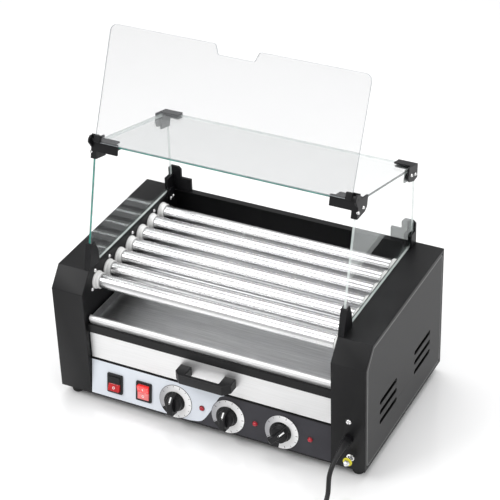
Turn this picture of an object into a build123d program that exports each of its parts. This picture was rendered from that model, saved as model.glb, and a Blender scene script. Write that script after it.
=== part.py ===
from build123d import *
import os
from math import atan, cos, degrees, hypot, pi, radians, sin, tan

# Hot dog roller grill: seven driven heated rollers between two sheet-metal
# towers, a drip tray, a bun-warmer drawer, a control panel and a glass hood
# with a flip-up front door. Millimetres. While it is built, x is across the
# machine from its middle, y goes back from the towers' front faces and z is
# height above the floor. At the end everything moves along y, so that the
# origin is the middle of the footprint without the mains cord.

# ---------------------------------------------------------------- casing
body_width = 580.0
body_depth = 335.0
body_height = 238.0        # casing, without its feet
foot_height = 18.0
tower_width = 61.0
front_height = 204.5       # a tower's upright front face
chamfer_run = 27.5
sheet = 1.2
rim_width = 6.5            # shell rim around a side cover
cover_gap = 0.6
ledge_width = 14.0         # ledge behind the side cover
cover_corner = 5.0
vent_length, vent_height, vent_pitch = 72.0, 9.5, 20.0
vent_count = 3
vent_fronts = (59.0, 208.0)
vent_low = 61.0            # lowest vent above the casing's base
foot_radius, foot_inset_x, foot_inset_y = 11.5, 20.0, 21.0

# ---------------------------------------------------------------- control panel
panel_rise, panel_lean, panel_sheet = 70.4, 10.3, 1.5
panel_return, panel_lip = 14.0, 12.0
control_height = 31.5      # knob centres up the sloping panel
lamp_height = 33.0
knob_places = (-62.4, 37.6, 137.6)
knob_turns = (0.0, 0.0, -45.0)
lamp_places = (-11.9, 88.4, 189.6)
switch_places = (-181.0, -124.0)
dial_radius, dial_thick = 31.4, 1.0
knob_lift, skirt_radius, skirt_height = 0.6, 16.5, 4.0
hub_radius, hub_top_radius, hub_height = 15.6, 14.6, 9.0
grip_width, grip_length, grip_height = 10.0, 40.0, 22.5
spindle_radius, spindle_reach = 3.0, 14.0
neck_radius, neck_depth = 5.0, 12.0
thermostat_size, thermostat_depth = 34.0, 22.0
bezel_width, bezel_height, bezel_thick = 30.0, 37.0, 3.5
well_width, well_height, well_depth = 22.6, 29.6, 12.0
switch_width, switch_height, switch_depth = 24.2, 31.2, 26.0
rocker_width, rocker_half, rocker_tilt = 22.0, 13.6, 9.0
rocker_end, rocker_mid, rocker_root = 6.5, 4.4, 8.0
rocker_pivot = 0.5         # pivot above the panel's face
rocker_pin = 1.5
lamp_collar, lamp_dome, lamp_body, lamp_depth = 5.2, 4.2, 4.0, 20.0

# ---------------------------------------------------------------- rail, tray and drawer
rail_low, rail_high = 126.5, 142.5
rail_front, rail_depth = 7.5, 16.0
runner_width, runner_drop, runner_end = 15.0, 11.6, 320.0
tray_width, tray_back, tray_wall, tray_sheet = 452.8, 322.0, 11.0, 1.0
tray_rest = 0.3
tray_lip_rise = 15.5
drawer_face, drawer_plate = 10.5, 1.5
drawer_width, drawer_back, drawer_sheet = 454.0, 300.0, 1.0
drawer_low, drawer_top = 76.0, 121.0
plate_low, plate_high, plate_width = 73.2, 125.6, 454.8
slide_gap = 0.2
warmer_width, warmer_depth, warmer_thick = 320.0, 200.0, 3.0
handle_length, handle_reach, handle_height, handle_low = 104.0, 29.5, 18.0, 91.5
handle_leg, handle_bar, handle_chamfer = 21.0, 8.0, 11.5
handle_screw_place = 41.0

# ---------------------------------------------------------------- rollers and drive
roller_count = 7
roller_radius, roller_wall = 12.5, 1.2
roller_first, roller_last_margin = 48.6, 58.4
roller_height, roller_rise = 209.1, 8.4    # first roller above the base, rise to the last
roller_end_gap = 1.2
plug_length = 16.0
journal_radius, journal_bore = 6.0, 4.6
flange_radius, flange_thick = 16.0, 3.5
step_radius, step_thick = 14.4, 7.0
sleeve_radius, sleeve_length = 9.0, 7.0
running_gap = 0.06
sprocket_tip, sprocket_root, sprocket_teeth = 12.0, 9.4, 12
sprocket_width, sprocket_from_wall = 5.0, 13.0
journal_tail = 3.0
chain_gap, chain_thick = 0.4, 4.0
motor_height, motor_shaft = 150.0, 4.0
gearbox_width, gearbox_low, gearbox_high, gearbox_depth = 56.0, 34.0, 38.0, 30.0
gearbox_from_wall = 22.0
motor_radius, motor_length = 14.0, 50.0
post_radius, bar_post_radius = 4.0, 3.0
rod_radius, rod_overhang = 4.0, 32.0
bar_from_wall, bar_thick, bar_half = 26.0, 1.5, 9.0
bar_post_clear = 22.6      # bar post beyond the first and last rollers

# ---------------------------------------------------------------- glass hood
hood_tilt = 14.7
hood_front, hood_height = 89.1, 453.9      # middle of the top glass's front edge
glass = 4.0
glass_middle = 233.8       # middle of a side glass from the machine's middle
glass_lift = 1.5
glass_back_margin = 8.0
glass_gap = 0.5
jaw = 2.9                  # bracket wall
clamp_screw = 1.6
front_arm_reach, top_plate_reach, rear_arm_reach = 190.0, 198.0, 205.0
arm_drop, flange_drop = 14.0, 27.0
flange_run = 34.0
pivot_out, pivot_up = 9.0, 7.0             # door pivot from the top glass's front edge
lower_height, lower_foot = 45.0, 30.0
post_reach, arm_reach, arm_height = 214.0, 194.0, 24.0
tab_drop, tab_thick, tab_width = 20.0, 3.0, 19.0

# ---------------------------------------------------------------- door
door_width, door_length, door_thick = 459.0, 193.0, 3.0
door_tail, door_lean, door_corner = 3.0, 23.8, 14.0
notch_top, notch_bottom, notch_depth, notch_corner = 77.0, 64.5, 16.5, 5.0
clip_width, clip_height, clip_half = 11.3, 9.0, 3.2
clip_pin = 2.0

# ---------------------------------------------------------------- fasteners, terminal and cord
screw_head, screw_dome, screw_shank, screw_length = 3.4, 2.0, 1.7, 5.0
wall_screws = ((32.5, 198.2), (45.6, 229.0), (93.4, 230.0), (173.1, 231.0), (250.6, 232.0))
front_screw_head, front_screw_height = 4.8, 95.6
terminal_x, terminal_height = body_width / 2 - 26.0, 24.0
stud_radius, stud_reach = 3.0, 22.0
gland_x, gland_height = body_width / 2 - 29.7, 61.3
gland_body, gland_flange, gland_flange_thick, gland_tail = 6.2, 8.8, 5.0, 9.0
cord_diameter = 8.0

# ---------------------------------------------------------------- worked out
base = foot_height
top = base + body_height
half_width = body_width / 2
wall_x = half_width - tower_width          # inner faces of the inner walls
wall_back = wall_x + sheet
back_inside = body_depth - sheet
panel_top = base + panel_rise
panel_tilt = degrees(atan(panel_lean / panel_rise))
rail_top = base + rail_high
drawer_floor = base + drawer_low
tower_x = half_width - tower_width / 2
roller_reach = wall_x - flange_thick - step_thick - roller_end_gap
roller_pitch = (body_depth - roller_first - roller_last_margin) / (roller_count - 1)
sprocket_x = wall_x + sprocket_from_wall
tilt_cos, tilt_sin = cos(radians(hood_tilt)), sin(radians(hood_tilt))
glass_back = body_depth - glass_back_margin
glass_out, glass_in = glass_middle + glass / 2, glass_middle - glass / 2
hood_length = (glass_back - hood_front) / tilt_cos
gland_mouth = -(gland_flange_thick + gland_tail)

# Frames: on the sloping panel (across, up, out), in the hood's top glass
# (across, back, up) and in the raised door (across, up, forward).
panel_frame = Plane(origin=(0, 0, base), x_dir=(1, 0, 0),
                    z_dir=(0, -cos(radians(panel_tilt)), sin(radians(panel_tilt)))).location
hood_frame = Plane(origin=(0, hood_front, base + hood_height), x_dir=(1, 0, 0),
                   z_dir=(0, tilt_sin, tilt_cos)).location
pivot_point = (hood_frame * Pos(0, -pivot_out, pivot_up)).position
door_frame = Plane(origin=pivot_point, x_dir=(1, 0, 0),
                   z_dir=(0, -cos(radians(door_lean)), sin(radians(door_lean)))).location

nodes = {}


# ---------------------------------------------------------------- helpers
def keep(name, *shapes):
    """File the solids of the given shapes under one node."""
    nodes.setdefault(name, []).extend(s for shape in shapes for s in shape.solids())


def block(x, y, z):
    """Box between pairs of coordinates."""
    middle = [(a + b) / 2 for a, b in (x, y, z)]
    return Pos(*middle) * Box(*(abs(b - a) for a, b in (x, y, z)))


def prism(points, x):
    """Outline of (y, z) points, drawn out between two x values."""
    return sweep_face(Polygon(*points, align=None), x)


def sweep_face(face, x):
    """Flat face of (y, z) coordinates, drawn out between two x values."""
    return Pos(x[0], 0, 0) * extrude(Plane.YZ * face, x[1] - x[0], dir=(1, 0, 0))


def rod_x(y, z, radius, x):
    """Cylinder along x."""
    return Pos((x[0] + x[1]) / 2, y, z) * Rot(0, 90, 0) * Cylinder(radius, x[1] - x[0])


def rod_y(x, z, radius, y):
    """Cylinder along y."""
    return Pos(x, (y[0] + y[1]) / 2, z) * Rot(90, 0, 0) * Cylinder(radius, y[1] - y[0])


def both(shape):
    """A shape and its mirror image on the other side of the machine."""
    return [shape, mirror(shape, Plane.YZ)]


def in_frame(frame, x, y, z):
    """Box between pairs of coordinates of a tilted frame."""
    return frame * block(x, y, z)


def disc(u, v, w, radius):
    """Cylinder square to the control panel."""
    return panel_frame * Pos(u, v, (w[0] + w[1]) / 2) * Cylinder(radius, w[1] - w[0])


def roller_axis(index):
    """(y, z) of a roller's axis, counted from the front."""
    return (roller_first + index * roller_pitch,
            base + roller_height + index * roller_rise / (roller_count - 1))


def pan_screw(head, shank, length):
    """Screw with a domed head, its seat at z = 0 and its shank below."""
    cap = Pos(0, 0, screw_dome / 2) * Cylinder(head, screw_dome)
    cap = fillet(cap.edges().group_by(Axis.Z)[-1], screw_dome * 0.6)
    slot = Pos(0, 0, screw_dome) * (Box(head * 1.1, 0.7, 1.2) + Box(0.7, head * 1.1, 1.2))
    return cap - slot + Pos(0, 0, -length / 2) * Cylinder(shank, length)


# ---------------------------------------------------------------- towers
tower_outline = ((0, base), (0, base + front_height), (chamfer_run, top),
                 (body_depth, top), (body_depth, base))


def tower_face(inset):
    """Side outline of a tower, moved inwards."""
    outline = Polygon(*tower_outline, align=None)
    return offset(outline, -inset, kind=Kind.INTERSECTION) if inset else outline


def tower_shell():
    """Right tower's bent sheet: front, chamfer, top, back and bottom, with the rim of its side."""
    wrap = sweep_face(tower_face(0) - tower_face(sheet), (wall_x, half_width))
    rim = sweep_face(tower_face(0) - tower_face(rim_width), (half_width - sheet, half_width))
    ledge = sweep_face(tower_face(0) - tower_face(ledge_width),
                       (half_width - 2 * sheet, half_width - sheet))
    shell = wrap + rim + ledge
    outer = shell.faces().sort_by(Axis.X)[-1].outer_wire().edges()
    return fillet(outer, sheet * 0.8)


def inner_wall():
    """Right tower's inner wall, with holes for the roller bushings and the screws."""
    wall = sweep_face(tower_face(sheet), (wall_x, wall_back))
    for index in range(roller_count):
        wall -= rod_x(*roller_axis(index), sleeve_radius, (wall_x - 1, wall_back + 1))
    for y, height in wall_screws:
        wall -= rod_x(y, base + height, screw_shank, (wall_x - 1, wall_back + 1))
    for y in tab_screw_places:
        wall -= rod_x(y, top - tab_drop / 2, screw_shank, (wall_x - 1, wall_back + 1))
    return wall


def side_cover():
    """Right side cover, with its two groups of vents."""
    face = tower_face(rim_width + cover_gap)
    face = fillet(face.vertices(), cover_corner)
    for start in vent_fronts:
        for row in range(vent_count):
            face -= (Pos(start + vent_length / 2, base + vent_low + row * vent_pitch)
                     * SlotOverall(vent_length, vent_height))
    return sweep_face(face, (half_width - sheet, half_width))


tab_screw_places = (body_depth - 27.0, body_depth - 18.0)
right_shell = tower_shell()
front_wall = (-1, sheet + 1)
drilled_shell = right_shell - rod_y(gland_x, base + gland_height, gland_body, front_wall)
drilled_shell -= rod_y(terminal_x, base + terminal_height, stud_radius, front_wall)
drilled_shell -= rod_y(gland_x, base + front_screw_height, screw_shank, front_wall)
keep("right_tower_shell", drilled_shell)
keep("left_tower_shell", mirror(right_shell, Plane.YZ))
for side, wall, cover in zip(("right", "left"), both(inner_wall()), both(side_cover())):
    keep(f"{side}_inner_wall", wall)
    keep(f"{side}_side_cover", cover)

back = block((-wall_x, wall_x), (back_inside, body_depth), (base, top))
back += block((-wall_x, wall_x), (body_depth - 12, back_inside), (top - sheet, top))
keep("back_panel", back)
keep("base_pan", block((-wall_x, wall_x), (panel_lip, back_inside), (base, base + sheet)))
keep("warmer_deck", block((-wall_x, wall_x), (panel_lean + panel_return, back_inside),
                          (panel_top - sheet, panel_top)))
deck_middle = body_depth / 2
keep("warmer_element", block((-warmer_width / 2, warmer_width / 2),
                             (deck_middle - warmer_depth / 2, deck_middle + warmer_depth / 2),
                             (panel_top, panel_top + warmer_thick)))

foot = Pos(0, 0, foot_height / 2) * Cone(foot_radius - 1.5, foot_radius, foot_height)
foot = fillet(foot.edges().group_by(Axis.Z)[0], 2.5)
for x in (-1, 1):
    for y in (foot_inset_y, body_depth - foot_inset_y):
        keep("feet", Pos(x * (half_width - foot_inset_x), y, 0) * foot)


# ---------------------------------------------------------------- control panel
def panel_inside(z):
    """y of the panel's inner face at a height."""
    return (z - base) * tan(radians(panel_tilt)) + panel_sheet / cos(radians(panel_tilt))


panel_outline = ((0, base), (panel_lean, panel_top), (panel_lean + panel_return, panel_top),
                 (panel_lean + panel_return, panel_top - sheet),
                 (panel_inside(panel_top - sheet), panel_top - sheet),
                 (panel_inside(base + sheet), base + sheet), (panel_lip, base + sheet),
                 (panel_lip, base))
panel = prism(panel_outline, (-wall_x, wall_x))
through = (-panel_sheet - 1, 1)
for place in knob_places:
    panel -= disc(place, control_height, through, neck_radius)
for place in lamp_places:
    panel -= disc(place, lamp_height, through, lamp_body)
for place in switch_places:
    panel -= panel_frame * Pos(place, lamp_height, 0) * Box(switch_width, switch_height, 8)
keep("control_panel", panel)


def knob(place, turn):
    """Knob with its grip bar, and the spindle that it is pressed on."""
    low = dial_thick + knob_lift
    body = Pos(0, 0, low + skirt_height / 2) * Cylinder(skirt_radius, skirt_height)
    body += (Pos(0, 0, low + skirt_height + hub_height / 2)
             * Cone(hub_radius, hub_top_radius, hub_height))
    grip = Pos(0, 0, low + grip_height / 2) * Box(grip_width, grip_length, grip_height)
    grip = fillet(grip.edges().filter_by(Axis.Z), grip_width * 0.45)
    grip = fillet(grip.edges().group_by(Axis.Z)[-1], 1.4)
    body += grip
    hole = Pos(0, 0, spindle_reach / 2) * Cylinder(spindle_radius, spindle_reach)
    spindle = (Pos(0, 0, (spindle_reach - neck_depth) / 2)
               * Cylinder(spindle_radius, spindle_reach + neck_depth))
    where = panel_frame * Pos(place, control_height, 0) * Rot(0, 0, turn)
    return where * (body - hole), where * spindle


def rocker(place, tilt):
    """Shallow V-shaped rocker with its two pivot pins."""
    outline = Polygon((-rocker_half, rocker_end), (0, rocker_mid), (rocker_half, rocker_end),
                      (rocker_half - 0.5, -1), (5, -rocker_root), (-5, -rocker_root),
                      (0.5 - rocker_half, -1), align=None)
    span = (-rocker_width / 2, rocker_width / 2)
    body = sweep_face(outline, span)
    body += rod_x(0, 0, rocker_pin, (-switch_width / 2 + 0.2, switch_width / 2 - 0.2))
    return panel_frame * Pos(place, lamp_height, rocker_pivot) * Rot(tilt, 0, 0) * body


for number, (place, turn) in enumerate(zip(knob_places, knob_turns), 1):
    dial = disc(place, control_height, (0, dial_thick), dial_radius)
    keep("dial_plates", dial - disc(place, control_height, (-1, 2), neck_radius))
    bore = disc(place, control_height, (-neck_depth, 1), spindle_radius + running_gap)
    case = panel_frame * Pos(place, control_height, -panel_sheet - thermostat_depth / 2) * Box(
        thermostat_size, thermostat_size, thermostat_depth)
    case += disc(place, control_height, (-panel_sheet, dial_thick - 0.1), neck_radius)
    keep("thermostats", case - bore)
    keep(f"knob_{number}", *knob(place, turn))

for number, (place, tilt) in enumerate(zip(switch_places, (-rocker_tilt, rocker_tilt)), 1):
    frame = panel_frame * Pos(place, lamp_height, 0)
    housing = Pos(0, 0, bezel_thick / 2) * Box(bezel_width, bezel_height, bezel_thick)
    housing = fillet(housing.edges().filter_by(Axis.Z), 2.0)
    housing = fillet(housing.edges().group_by(Axis.Z)[-1], 0.8)
    housing += Pos(0, 0, -switch_depth / 2) * Box(switch_width, switch_height, switch_depth)
    housing -= (Pos(0, 0, bezel_thick - (well_depth + bezel_thick) / 2)
                * Box(well_width, well_height, well_depth + bezel_thick))
    housing -= rod_x(0, rocker_pivot, rocker_pin + running_gap,
                     (-switch_width / 2 + 0.1, switch_width / 2 - 0.1))
    keep("switch_housings", frame * housing)
    keep(f"rocker_{number}", rocker(place, tilt))

for place in lamp_places:
    lamp = disc(place, lamp_height, (0, 1.5), lamp_collar)
    dome = Sphere(lamp_dome) & Pos(0, 0, lamp_dome / 2) * Box(20, 20, lamp_dome)
    lamp += panel_frame * Pos(place, lamp_height, 1.5) * dome
    keep("indicator_lamps", lamp + disc(place, lamp_height, (-lamp_depth, 0), lamp_body))

# ---------------------------------------------------------------- rail, runners, tray and drawer
rail_back = rail_front + rail_depth
rail_base = base + rail_low
rail_outline = ((rail_front, rail_base), (rail_front, rail_top), (rail_back, rail_top),
                (rail_back, rail_top - sheet), (rail_front + sheet, rail_top - sheet),
                (rail_front + sheet, rail_base + sheet), (rail_back, rail_base + sheet),
                (rail_back, rail_base))
keep("front_rail", prism(rail_outline, (-wall_x, wall_x)))

runner_y = (rail_back + 1, runner_end)
runner_top = drawer_floor - slide_gap
drawer_runner = block((wall_x - runner_width, wall_x), runner_y, (runner_top - sheet, runner_top))
drawer_runner += block((wall_x - sheet, wall_x), runner_y, (runner_top, runner_top + runner_drop))
tray_runner = block((wall_x - runner_width, wall_x), runner_y, (rail_top - sheet, rail_top))
tray_runner += block((wall_x - sheet, wall_x), runner_y, (rail_top - runner_drop, rail_top))
keep("slide_runners", *both(drawer_runner), *both(tray_runner))


def drip_tray():
    """Shallow tray with a folded apron along its front."""
    half = tray_width / 2
    low = rail_top + tray_rest
    lip_front = rail_front + 1
    pan = block((-half, half), (lip_front + 3, tray_back), (low, low + tray_wall))
    pan -= block((tray_sheet - half, half - tray_sheet), (lip_front, tray_back - tray_sheet),
                 (low + tray_sheet, low + tray_wall + 1))
    apron = prism(((lip_front, low), (lip_front + 3.4, low + tray_lip_rise - 1.4),
                   (lip_front + 5.4, low + tray_lip_rise), (lip_front + 8.4, low + tray_lip_rise),
                   (lip_front + 8.4, low + tray_lip_rise - 2.2),
                   (lip_front + 6.4, low + tray_lip_rise - 2.6),
                   (lip_front + 4.0, low)), (-half, half))
    return pan + apron


keep("drip_tray", drip_tray())

box_front = drawer_face + drawer_plate
half = drawer_width / 2
drawer_box = block((-half, half), (box_front, drawer_back), (drawer_floor, base + drawer_top))
drawer_box -= block((drawer_sheet - half, half - drawer_sheet),
                    (box_front + drawer_sheet, drawer_back - drawer_sheet),
                    (drawer_floor + drawer_sheet, base + drawer_top + 1))
drawer_front = block((-plate_width / 2, plate_width / 2), (drawer_face, box_front),
                     (base + plate_low, base + plate_high))
handle_z = base + handle_low + handle_height / 2
leg_in = handle_length / 2 - handle_leg
bar_back = drawer_face - handle_reach + handle_bar
handle = Polygon((-handle_length / 2, drawer_face),
                 (-handle_length / 2, drawer_face - handle_reach + handle_chamfer),
                 (handle_chamfer - handle_length / 2, drawer_face - handle_reach),
                 (handle_length / 2 - handle_chamfer, drawer_face - handle_reach),
                 (handle_length / 2, drawer_face - handle_reach + handle_chamfer),
                 (handle_length / 2, drawer_face), (leg_in, drawer_face), (leg_in, bar_back),
                 (-leg_in, bar_back), (-leg_in, drawer_face), align=None)
handle = Pos(0, 0, base + handle_low) * extrude(handle, handle_height, dir=(0, 0, 1))
handle_edges = [e for e in handle.edges() if e.center().Y < drawer_face - 1]
handle = fillet(handle_edges, 1.6)
for x in (-handle_screw_place, handle_screw_place):
    hole = rod_y(x, handle_z, screw_shank, (drawer_face - 8, box_front + 4))
    handle, drawer_front, drawer_box = handle - hole, drawer_front - hole, drawer_box - hole
    screw_seat = Pos(x, box_front + drawer_sheet, handle_z) * Rot(-90, 0, 0)
    keep("drawer_handle", screw_seat * pan_screw(screw_head, screw_shank, 9.0))
keep("drawer_handle", handle)
keep("drawer_front", drawer_front)
keep("drawer_box", drawer_box)


# ---------------------------------------------------------------- rollers and drive
def sprocket(y, z):
    """Sprocket blank with straight-flanked teeth, across the drive plane."""
    face = Circle(sprocket_root)
    for tooth in range(sprocket_teeth):
        face += (Rot(0, 0, tooth * 360 / sprocket_teeth)
                 * Polygon((sprocket_root - 1, -1.9), (sprocket_tip, -0.8), (sprocket_tip, 0.8),
                           (sprocket_root - 1, 1.9), align=None))
    face = Circle(sprocket_tip) & face
    return sweep_face(Pos(y, z) * face, (sprocket_x, sprocket_x + sprocket_width))


def chain_loop(radius, ends):
    """Outline of a loop around the three end wheels, at a distance from their centres."""
    return make_hull([(Pos(*end) * Circle(radius)).edge() for end in ends])


motor_axis = ((roller_axis(0)[0] + roller_axis(roller_count - 1)[0]) / 2, base + motor_height)
journal_end = sprocket_x + sprocket_width + journal_tail
for index in range(roller_count):
    y, z = roller_axis(index)
    bore = rod_x(y, z, journal_bore, (-half_width, half_width))
    tube = rod_x(y, z, roller_radius, (-roller_reach, roller_reach))
    tube -= rod_x(y, z, roller_radius - roller_wall, (-roller_reach, roller_reach))
    keep(f"roller_tube_{index + 1}", tube)
    journal = rod_x(y, z, roller_radius - roller_wall, (roller_reach - plug_length, roller_reach))
    journal += rod_x(y, z, journal_radius, (roller_reach, journal_end))
    left = mirror(journal, Plane.YZ)
    wheel = sprocket(y, z) - rod_x(y, z, journal_radius, (wall_x, half_width))
    keep(f"roller_shaft_{index + 1}", journal - bore, left - bore, wheel)
    bushing = rod_x(y, z, flange_radius, (wall_x - flange_thick, wall_x))
    bushing += rod_x(y, z, step_radius, (wall_x - flange_thick - step_thick, wall_x))
    bushing += rod_x(y, z, sleeve_radius, (wall_x, wall_x + sleeve_length))
    bushing -= rod_x(y, z, journal_radius + running_gap, (0, half_width))
    keep("roller_bushings", *both(bushing))
    keep("heating_elements", rod_x(y, z, rod_radius, (-wall_x - rod_overhang,
                                                      wall_x + rod_overhang)))

bar_x = wall_x + bar_from_wall
first, last = roller_axis(0), roller_axis(roller_count - 1)
post_ends = ((first[0] - bar_post_clear, first[1]), (last[0] + bar_post_clear, last[1]))
bar = prism(((post_ends[0][0] - 6, first[1] - bar_half), (post_ends[1][0] + 6, last[1] - bar_half),
             (post_ends[1][0] + 6, last[1] + bar_half), (post_ends[0][0] - 6, first[1] + bar_half)),
            (bar_x, bar_x + bar_thick))
for index in range(roller_count):
    bar -= rod_x(*roller_axis(index), rod_radius, (bar_x - 1, bar_x + bar_thick + 1))
for y, z in post_ends:
    bar += rod_x(y, z, bar_post_radius, (wall_back, bar_x))
keep("element_bars", *both(bar))

loop_ends = (first, last, motor_axis)
chain_face = (chain_loop(sprocket_tip + chain_gap + chain_thick, loop_ends)
              - chain_loop(sprocket_tip + chain_gap, loop_ends))
keep("drive_chain", sweep_face(chain_face, (sprocket_x, sprocket_x + sprocket_width)))

gearbox_x = wall_x + gearbox_from_wall + sheet
my, mz = motor_axis
gear_motor = block((gearbox_x, gearbox_x + gearbox_depth),
                   (my - gearbox_width / 2, my + gearbox_width / 2),
                   (mz - gearbox_low, mz + gearbox_high))
gear_motor = fillet(gear_motor.edges().filter_by(Axis.X), 4.0)
gear_motor += rod_y(gearbox_x + gearbox_depth / 2, mz, motor_radius,
                    (my + gearbox_width / 2, my + gearbox_width / 2 + motor_length))
for dy, dz in ((-20, -28), (20, -28), (0, 32)):
    gear_motor += rod_x(my + dy, mz + dz, post_radius, (wall_back, gearbox_x))
gear_motor -= rod_x(my, mz, motor_shaft + running_gap, (gearbox_x - 1, gearbox_x + 10))
keep("gear_motor", gear_motor)
keep("motor_sprocket", sprocket(my, mz) + rod_x(my, mz, motor_shaft, (sprocket_x - 4, gearbox_x + 9)))


# ---------------------------------------------------------------- glass hood
def front_edge(z):
    """y of a side glass's front edge at a height."""
    return hood_front - (base + hood_height - z) * tan(radians(hood_tilt))


def hood_point(s, n):
    """(y, z) of a point s back and n up from the top glass's front edge."""
    return (hood_front + s * tilt_cos + n * tilt_sin, base + hood_height - s * tilt_sin + n * tilt_cos)


top_under = -(glass / 2 + glass_gap)
corner = hood_point(0, top_under)
back_top = hood_point((glass_back - hood_front - top_under * tilt_sin) / tilt_cos, top_under)
glass_low = top + glass_lift
pane_outline = ((front_edge(glass_low), glass_low), corner, back_top, (glass_back, glass_low))
side_pane = prism(pane_outline, (glass_in, glass_out))
keep("side_glasses", *both(side_pane))
keep("top_glass", in_frame(hood_frame, (-glass_out, glass_out), (0, hood_length),
                           (-glass / 2, glass / 2)))

clamp_in = glass_in - glass_gap
clamp_out = glass_out + glass_gap
jaw_in, jaw_out = clamp_in - jaw, clamp_out + jaw
cap_low, cap_high = glass / 2 + glass_gap * 0.6, glass / 2 + jaw
under_high = -cap_low
under_low = -cap_high - 0.1
web = glass_gap + 3.4


def flange_plate(points):
    """Bracket's outer plate from (back, up) points of the hood's frame."""
    return prism([hood_point(*point) for point in points], (clamp_out, jaw_out))


def front_upper_bracket():
    """Corner bracket: arm, cap, jaws, and the ear that the door swings in."""
    shape = flange_plate(((-16, 3), (-16, 9), (-11, 14), (0, 14), (5, cap_high),
                          (flange_run, cap_high), (flange_run, -14), (flange_run - 7, -21),
                          (0, -flange_drop), (-web, -flange_drop), (-web, -8)))
    arm = (-web, -glass_gap)
    shape += in_frame(hood_frame, (front_arm_reach, jaw_out), arm, (-arm_drop, cap_high))
    shape += in_frame(hood_frame, (jaw_in, jaw_out), arm, (-flange_drop, cap_high))
    shape += in_frame(hood_frame, (top_plate_reach, jaw_out), (-web, 18), (cap_low, cap_high))
    shape += in_frame(hood_frame, (front_arm_reach, clamp_in), (-web, 10), (under_low, under_high))
    shape += in_frame(hood_frame, (jaw_in, clamp_in), (-web, flange_run - 7),
                      (-flange_drop, under_high))
    stop = door_frame * block((door_width / 2 - 3, jaw_out), (4, 9), (-7, -clip_half - 0.3))
    shape += stop
    shape -= rod_x(pivot_point.Y, pivot_point.Z, clip_pin + running_gap, (jaw_in, half_width))
    return shape


def rear_upper_bracket():
    """Corner bracket at the top glass's back edge."""
    end = hood_length
    shape = flange_plate(((end - flange_run, cap_high), (end + web, cap_high), (end + web + 5, -20),
                          (end - 5, -24), (end - flange_run + 7, -21), (end - flange_run, -14)))
    behind = (end + glass_gap, end + web)
    shape += in_frame(hood_frame, (rear_arm_reach, jaw_out), behind, (-glass / 2, cap_high))
    shape += in_frame(hood_frame, (rear_arm_reach, clamp_in), behind, (under_low, cap_high))
    shape += in_frame(hood_frame, (rear_arm_reach, jaw_out), (end - 18, end + web),
                      (cap_low, cap_high))
    shape += in_frame(hood_frame, (rear_arm_reach, clamp_in), (end - 12, end + web),
                      (under_low, under_high))
    shape += in_frame(hood_frame, (jaw_in, clamp_in), (end - flange_run + 7, end + web),
                      (-24, under_high))
    return shape


def front_lower_bracket():
    """Clip around the lower front corner of a side glass, standing on the tower."""
    head = top + lower_height
    shape = prism(((front_edge(top) - web, top), (front_edge(head) - web, head),
                   (front_edge(head) + 9, head), (front_edge(head) + 16, head - 18),
                   (front_edge(top) + lower_foot, top + 8), (front_edge(top) + lower_foot, top)),
                  (jaw_in, jaw_out))
    room = offset(Polygon(*pane_outline, align=None), glass_gap, kind=Kind.INTERSECTION)
    return shape - sweep_face(room, (clamp_in, clamp_out))


def rear_lower_bracket():
    """Post and arm behind a side glass, with jaws on both its faces and a tab on the wall."""
    behind = (glass_back + glass_gap, glass_back + 5.8)
    head = top + lower_height
    post = Plane.XZ * Polygon((arm_reach, top), (arm_reach, top + arm_height),
                              (post_reach, top + arm_height), (post_reach, head - 5),
                              (post_reach + 5, head), (jaw_out - 5, head), (jaw_out, head - 5),
                              (jaw_out, top), align=None)
    shape = Pos(0, behind[0], 0) * extrude(post, behind[1] - behind[0], dir=(0, 1, 0))
    shape += block((jaw_in, clamp_in), (glass_back - 22, behind[1]), (top, top + 30))
    shape += block((clamp_out, jaw_out), (glass_back - 15, behind[1]), (top, top + 26))
    tab_y = (body_depth - 12.5 - tab_width, body_depth - 12.5)
    tab = block((wall_x - tab_thick, wall_x), tab_y, (top - tab_drop, top + 8))
    for y in tab_screw_places:
        tab -= rod_x(y, top - tab_drop / 2, screw_shank, (0, half_width))
    return shape + tab


upper_screws = {"front": ((-2.4, -16.0), (17.0, -12.0)),
                "rear": ((hood_length - 22, -10.0), (hood_length - 4, -12.0))}
for make, places in ((front_upper_bracket, upper_screws["front"]),
                     (rear_upper_bracket, upper_screws["rear"])):
    bracket = make()
    for s, n in places:
        y, z = hood_point(s, n)
        bracket -= rod_x(y, z, clamp_screw, (clamp_out - 0.2, half_width))
        screw = pan_screw(screw_head - 0.4, clamp_screw, jaw)
        keep("screws", *both(Pos(jaw_out, y, z) * Rot(0, 90, 0) * screw))
    keep("upper_brackets", *both(bracket))
keep("lower_brackets", *both(front_lower_bracket()), *both(rear_lower_bracket()))

for y, height in wall_screws:
    screw = Pos(wall_x, y, base + height) * Rot(0, -90, 0)
    keep("screws", *both(screw * pan_screw(screw_head, screw_shank, screw_length)))
for y in tab_screw_places:
    screw = Pos(wall_x - tab_thick, y, top - tab_drop / 2) * Rot(0, -90, 0)
    keep("screws", *both(screw * pan_screw(screw_head, screw_shank, tab_thick + screw_length)))
keep("screws", Pos(gland_x, 0, base + front_screw_height) * Rot(90, 0, 0)
     * pan_screw(front_screw_head, screw_shank, screw_length))


# ---------------------------------------------------------------- door
def door_pane():
    """Clear pane with rounded free corners and a finger notch in its free edge."""
    half = door_width / 2
    face = Polygon((-half, -door_tail), (half, -door_tail), (half, door_length),
                   (notch_top / 2, door_length), (notch_bottom / 2, door_length - notch_depth),
                   (-notch_bottom / 2, door_length - notch_depth), (-notch_top / 2, door_length),
                   (-half, door_length), align=None)
    points = face.vertices()
    ends = [p for p in points if abs(p.X) > half - 1 and p.Y > 0]
    face = fillet(ends, door_corner)
    face = fillet([p for p in face.vertices() if abs(p.X) < half - door_corner - 1], notch_corner)
    return Pos(0, 0, -door_thick / 2) * extrude(face, door_thick, dir=(0, 0, 1))


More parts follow.
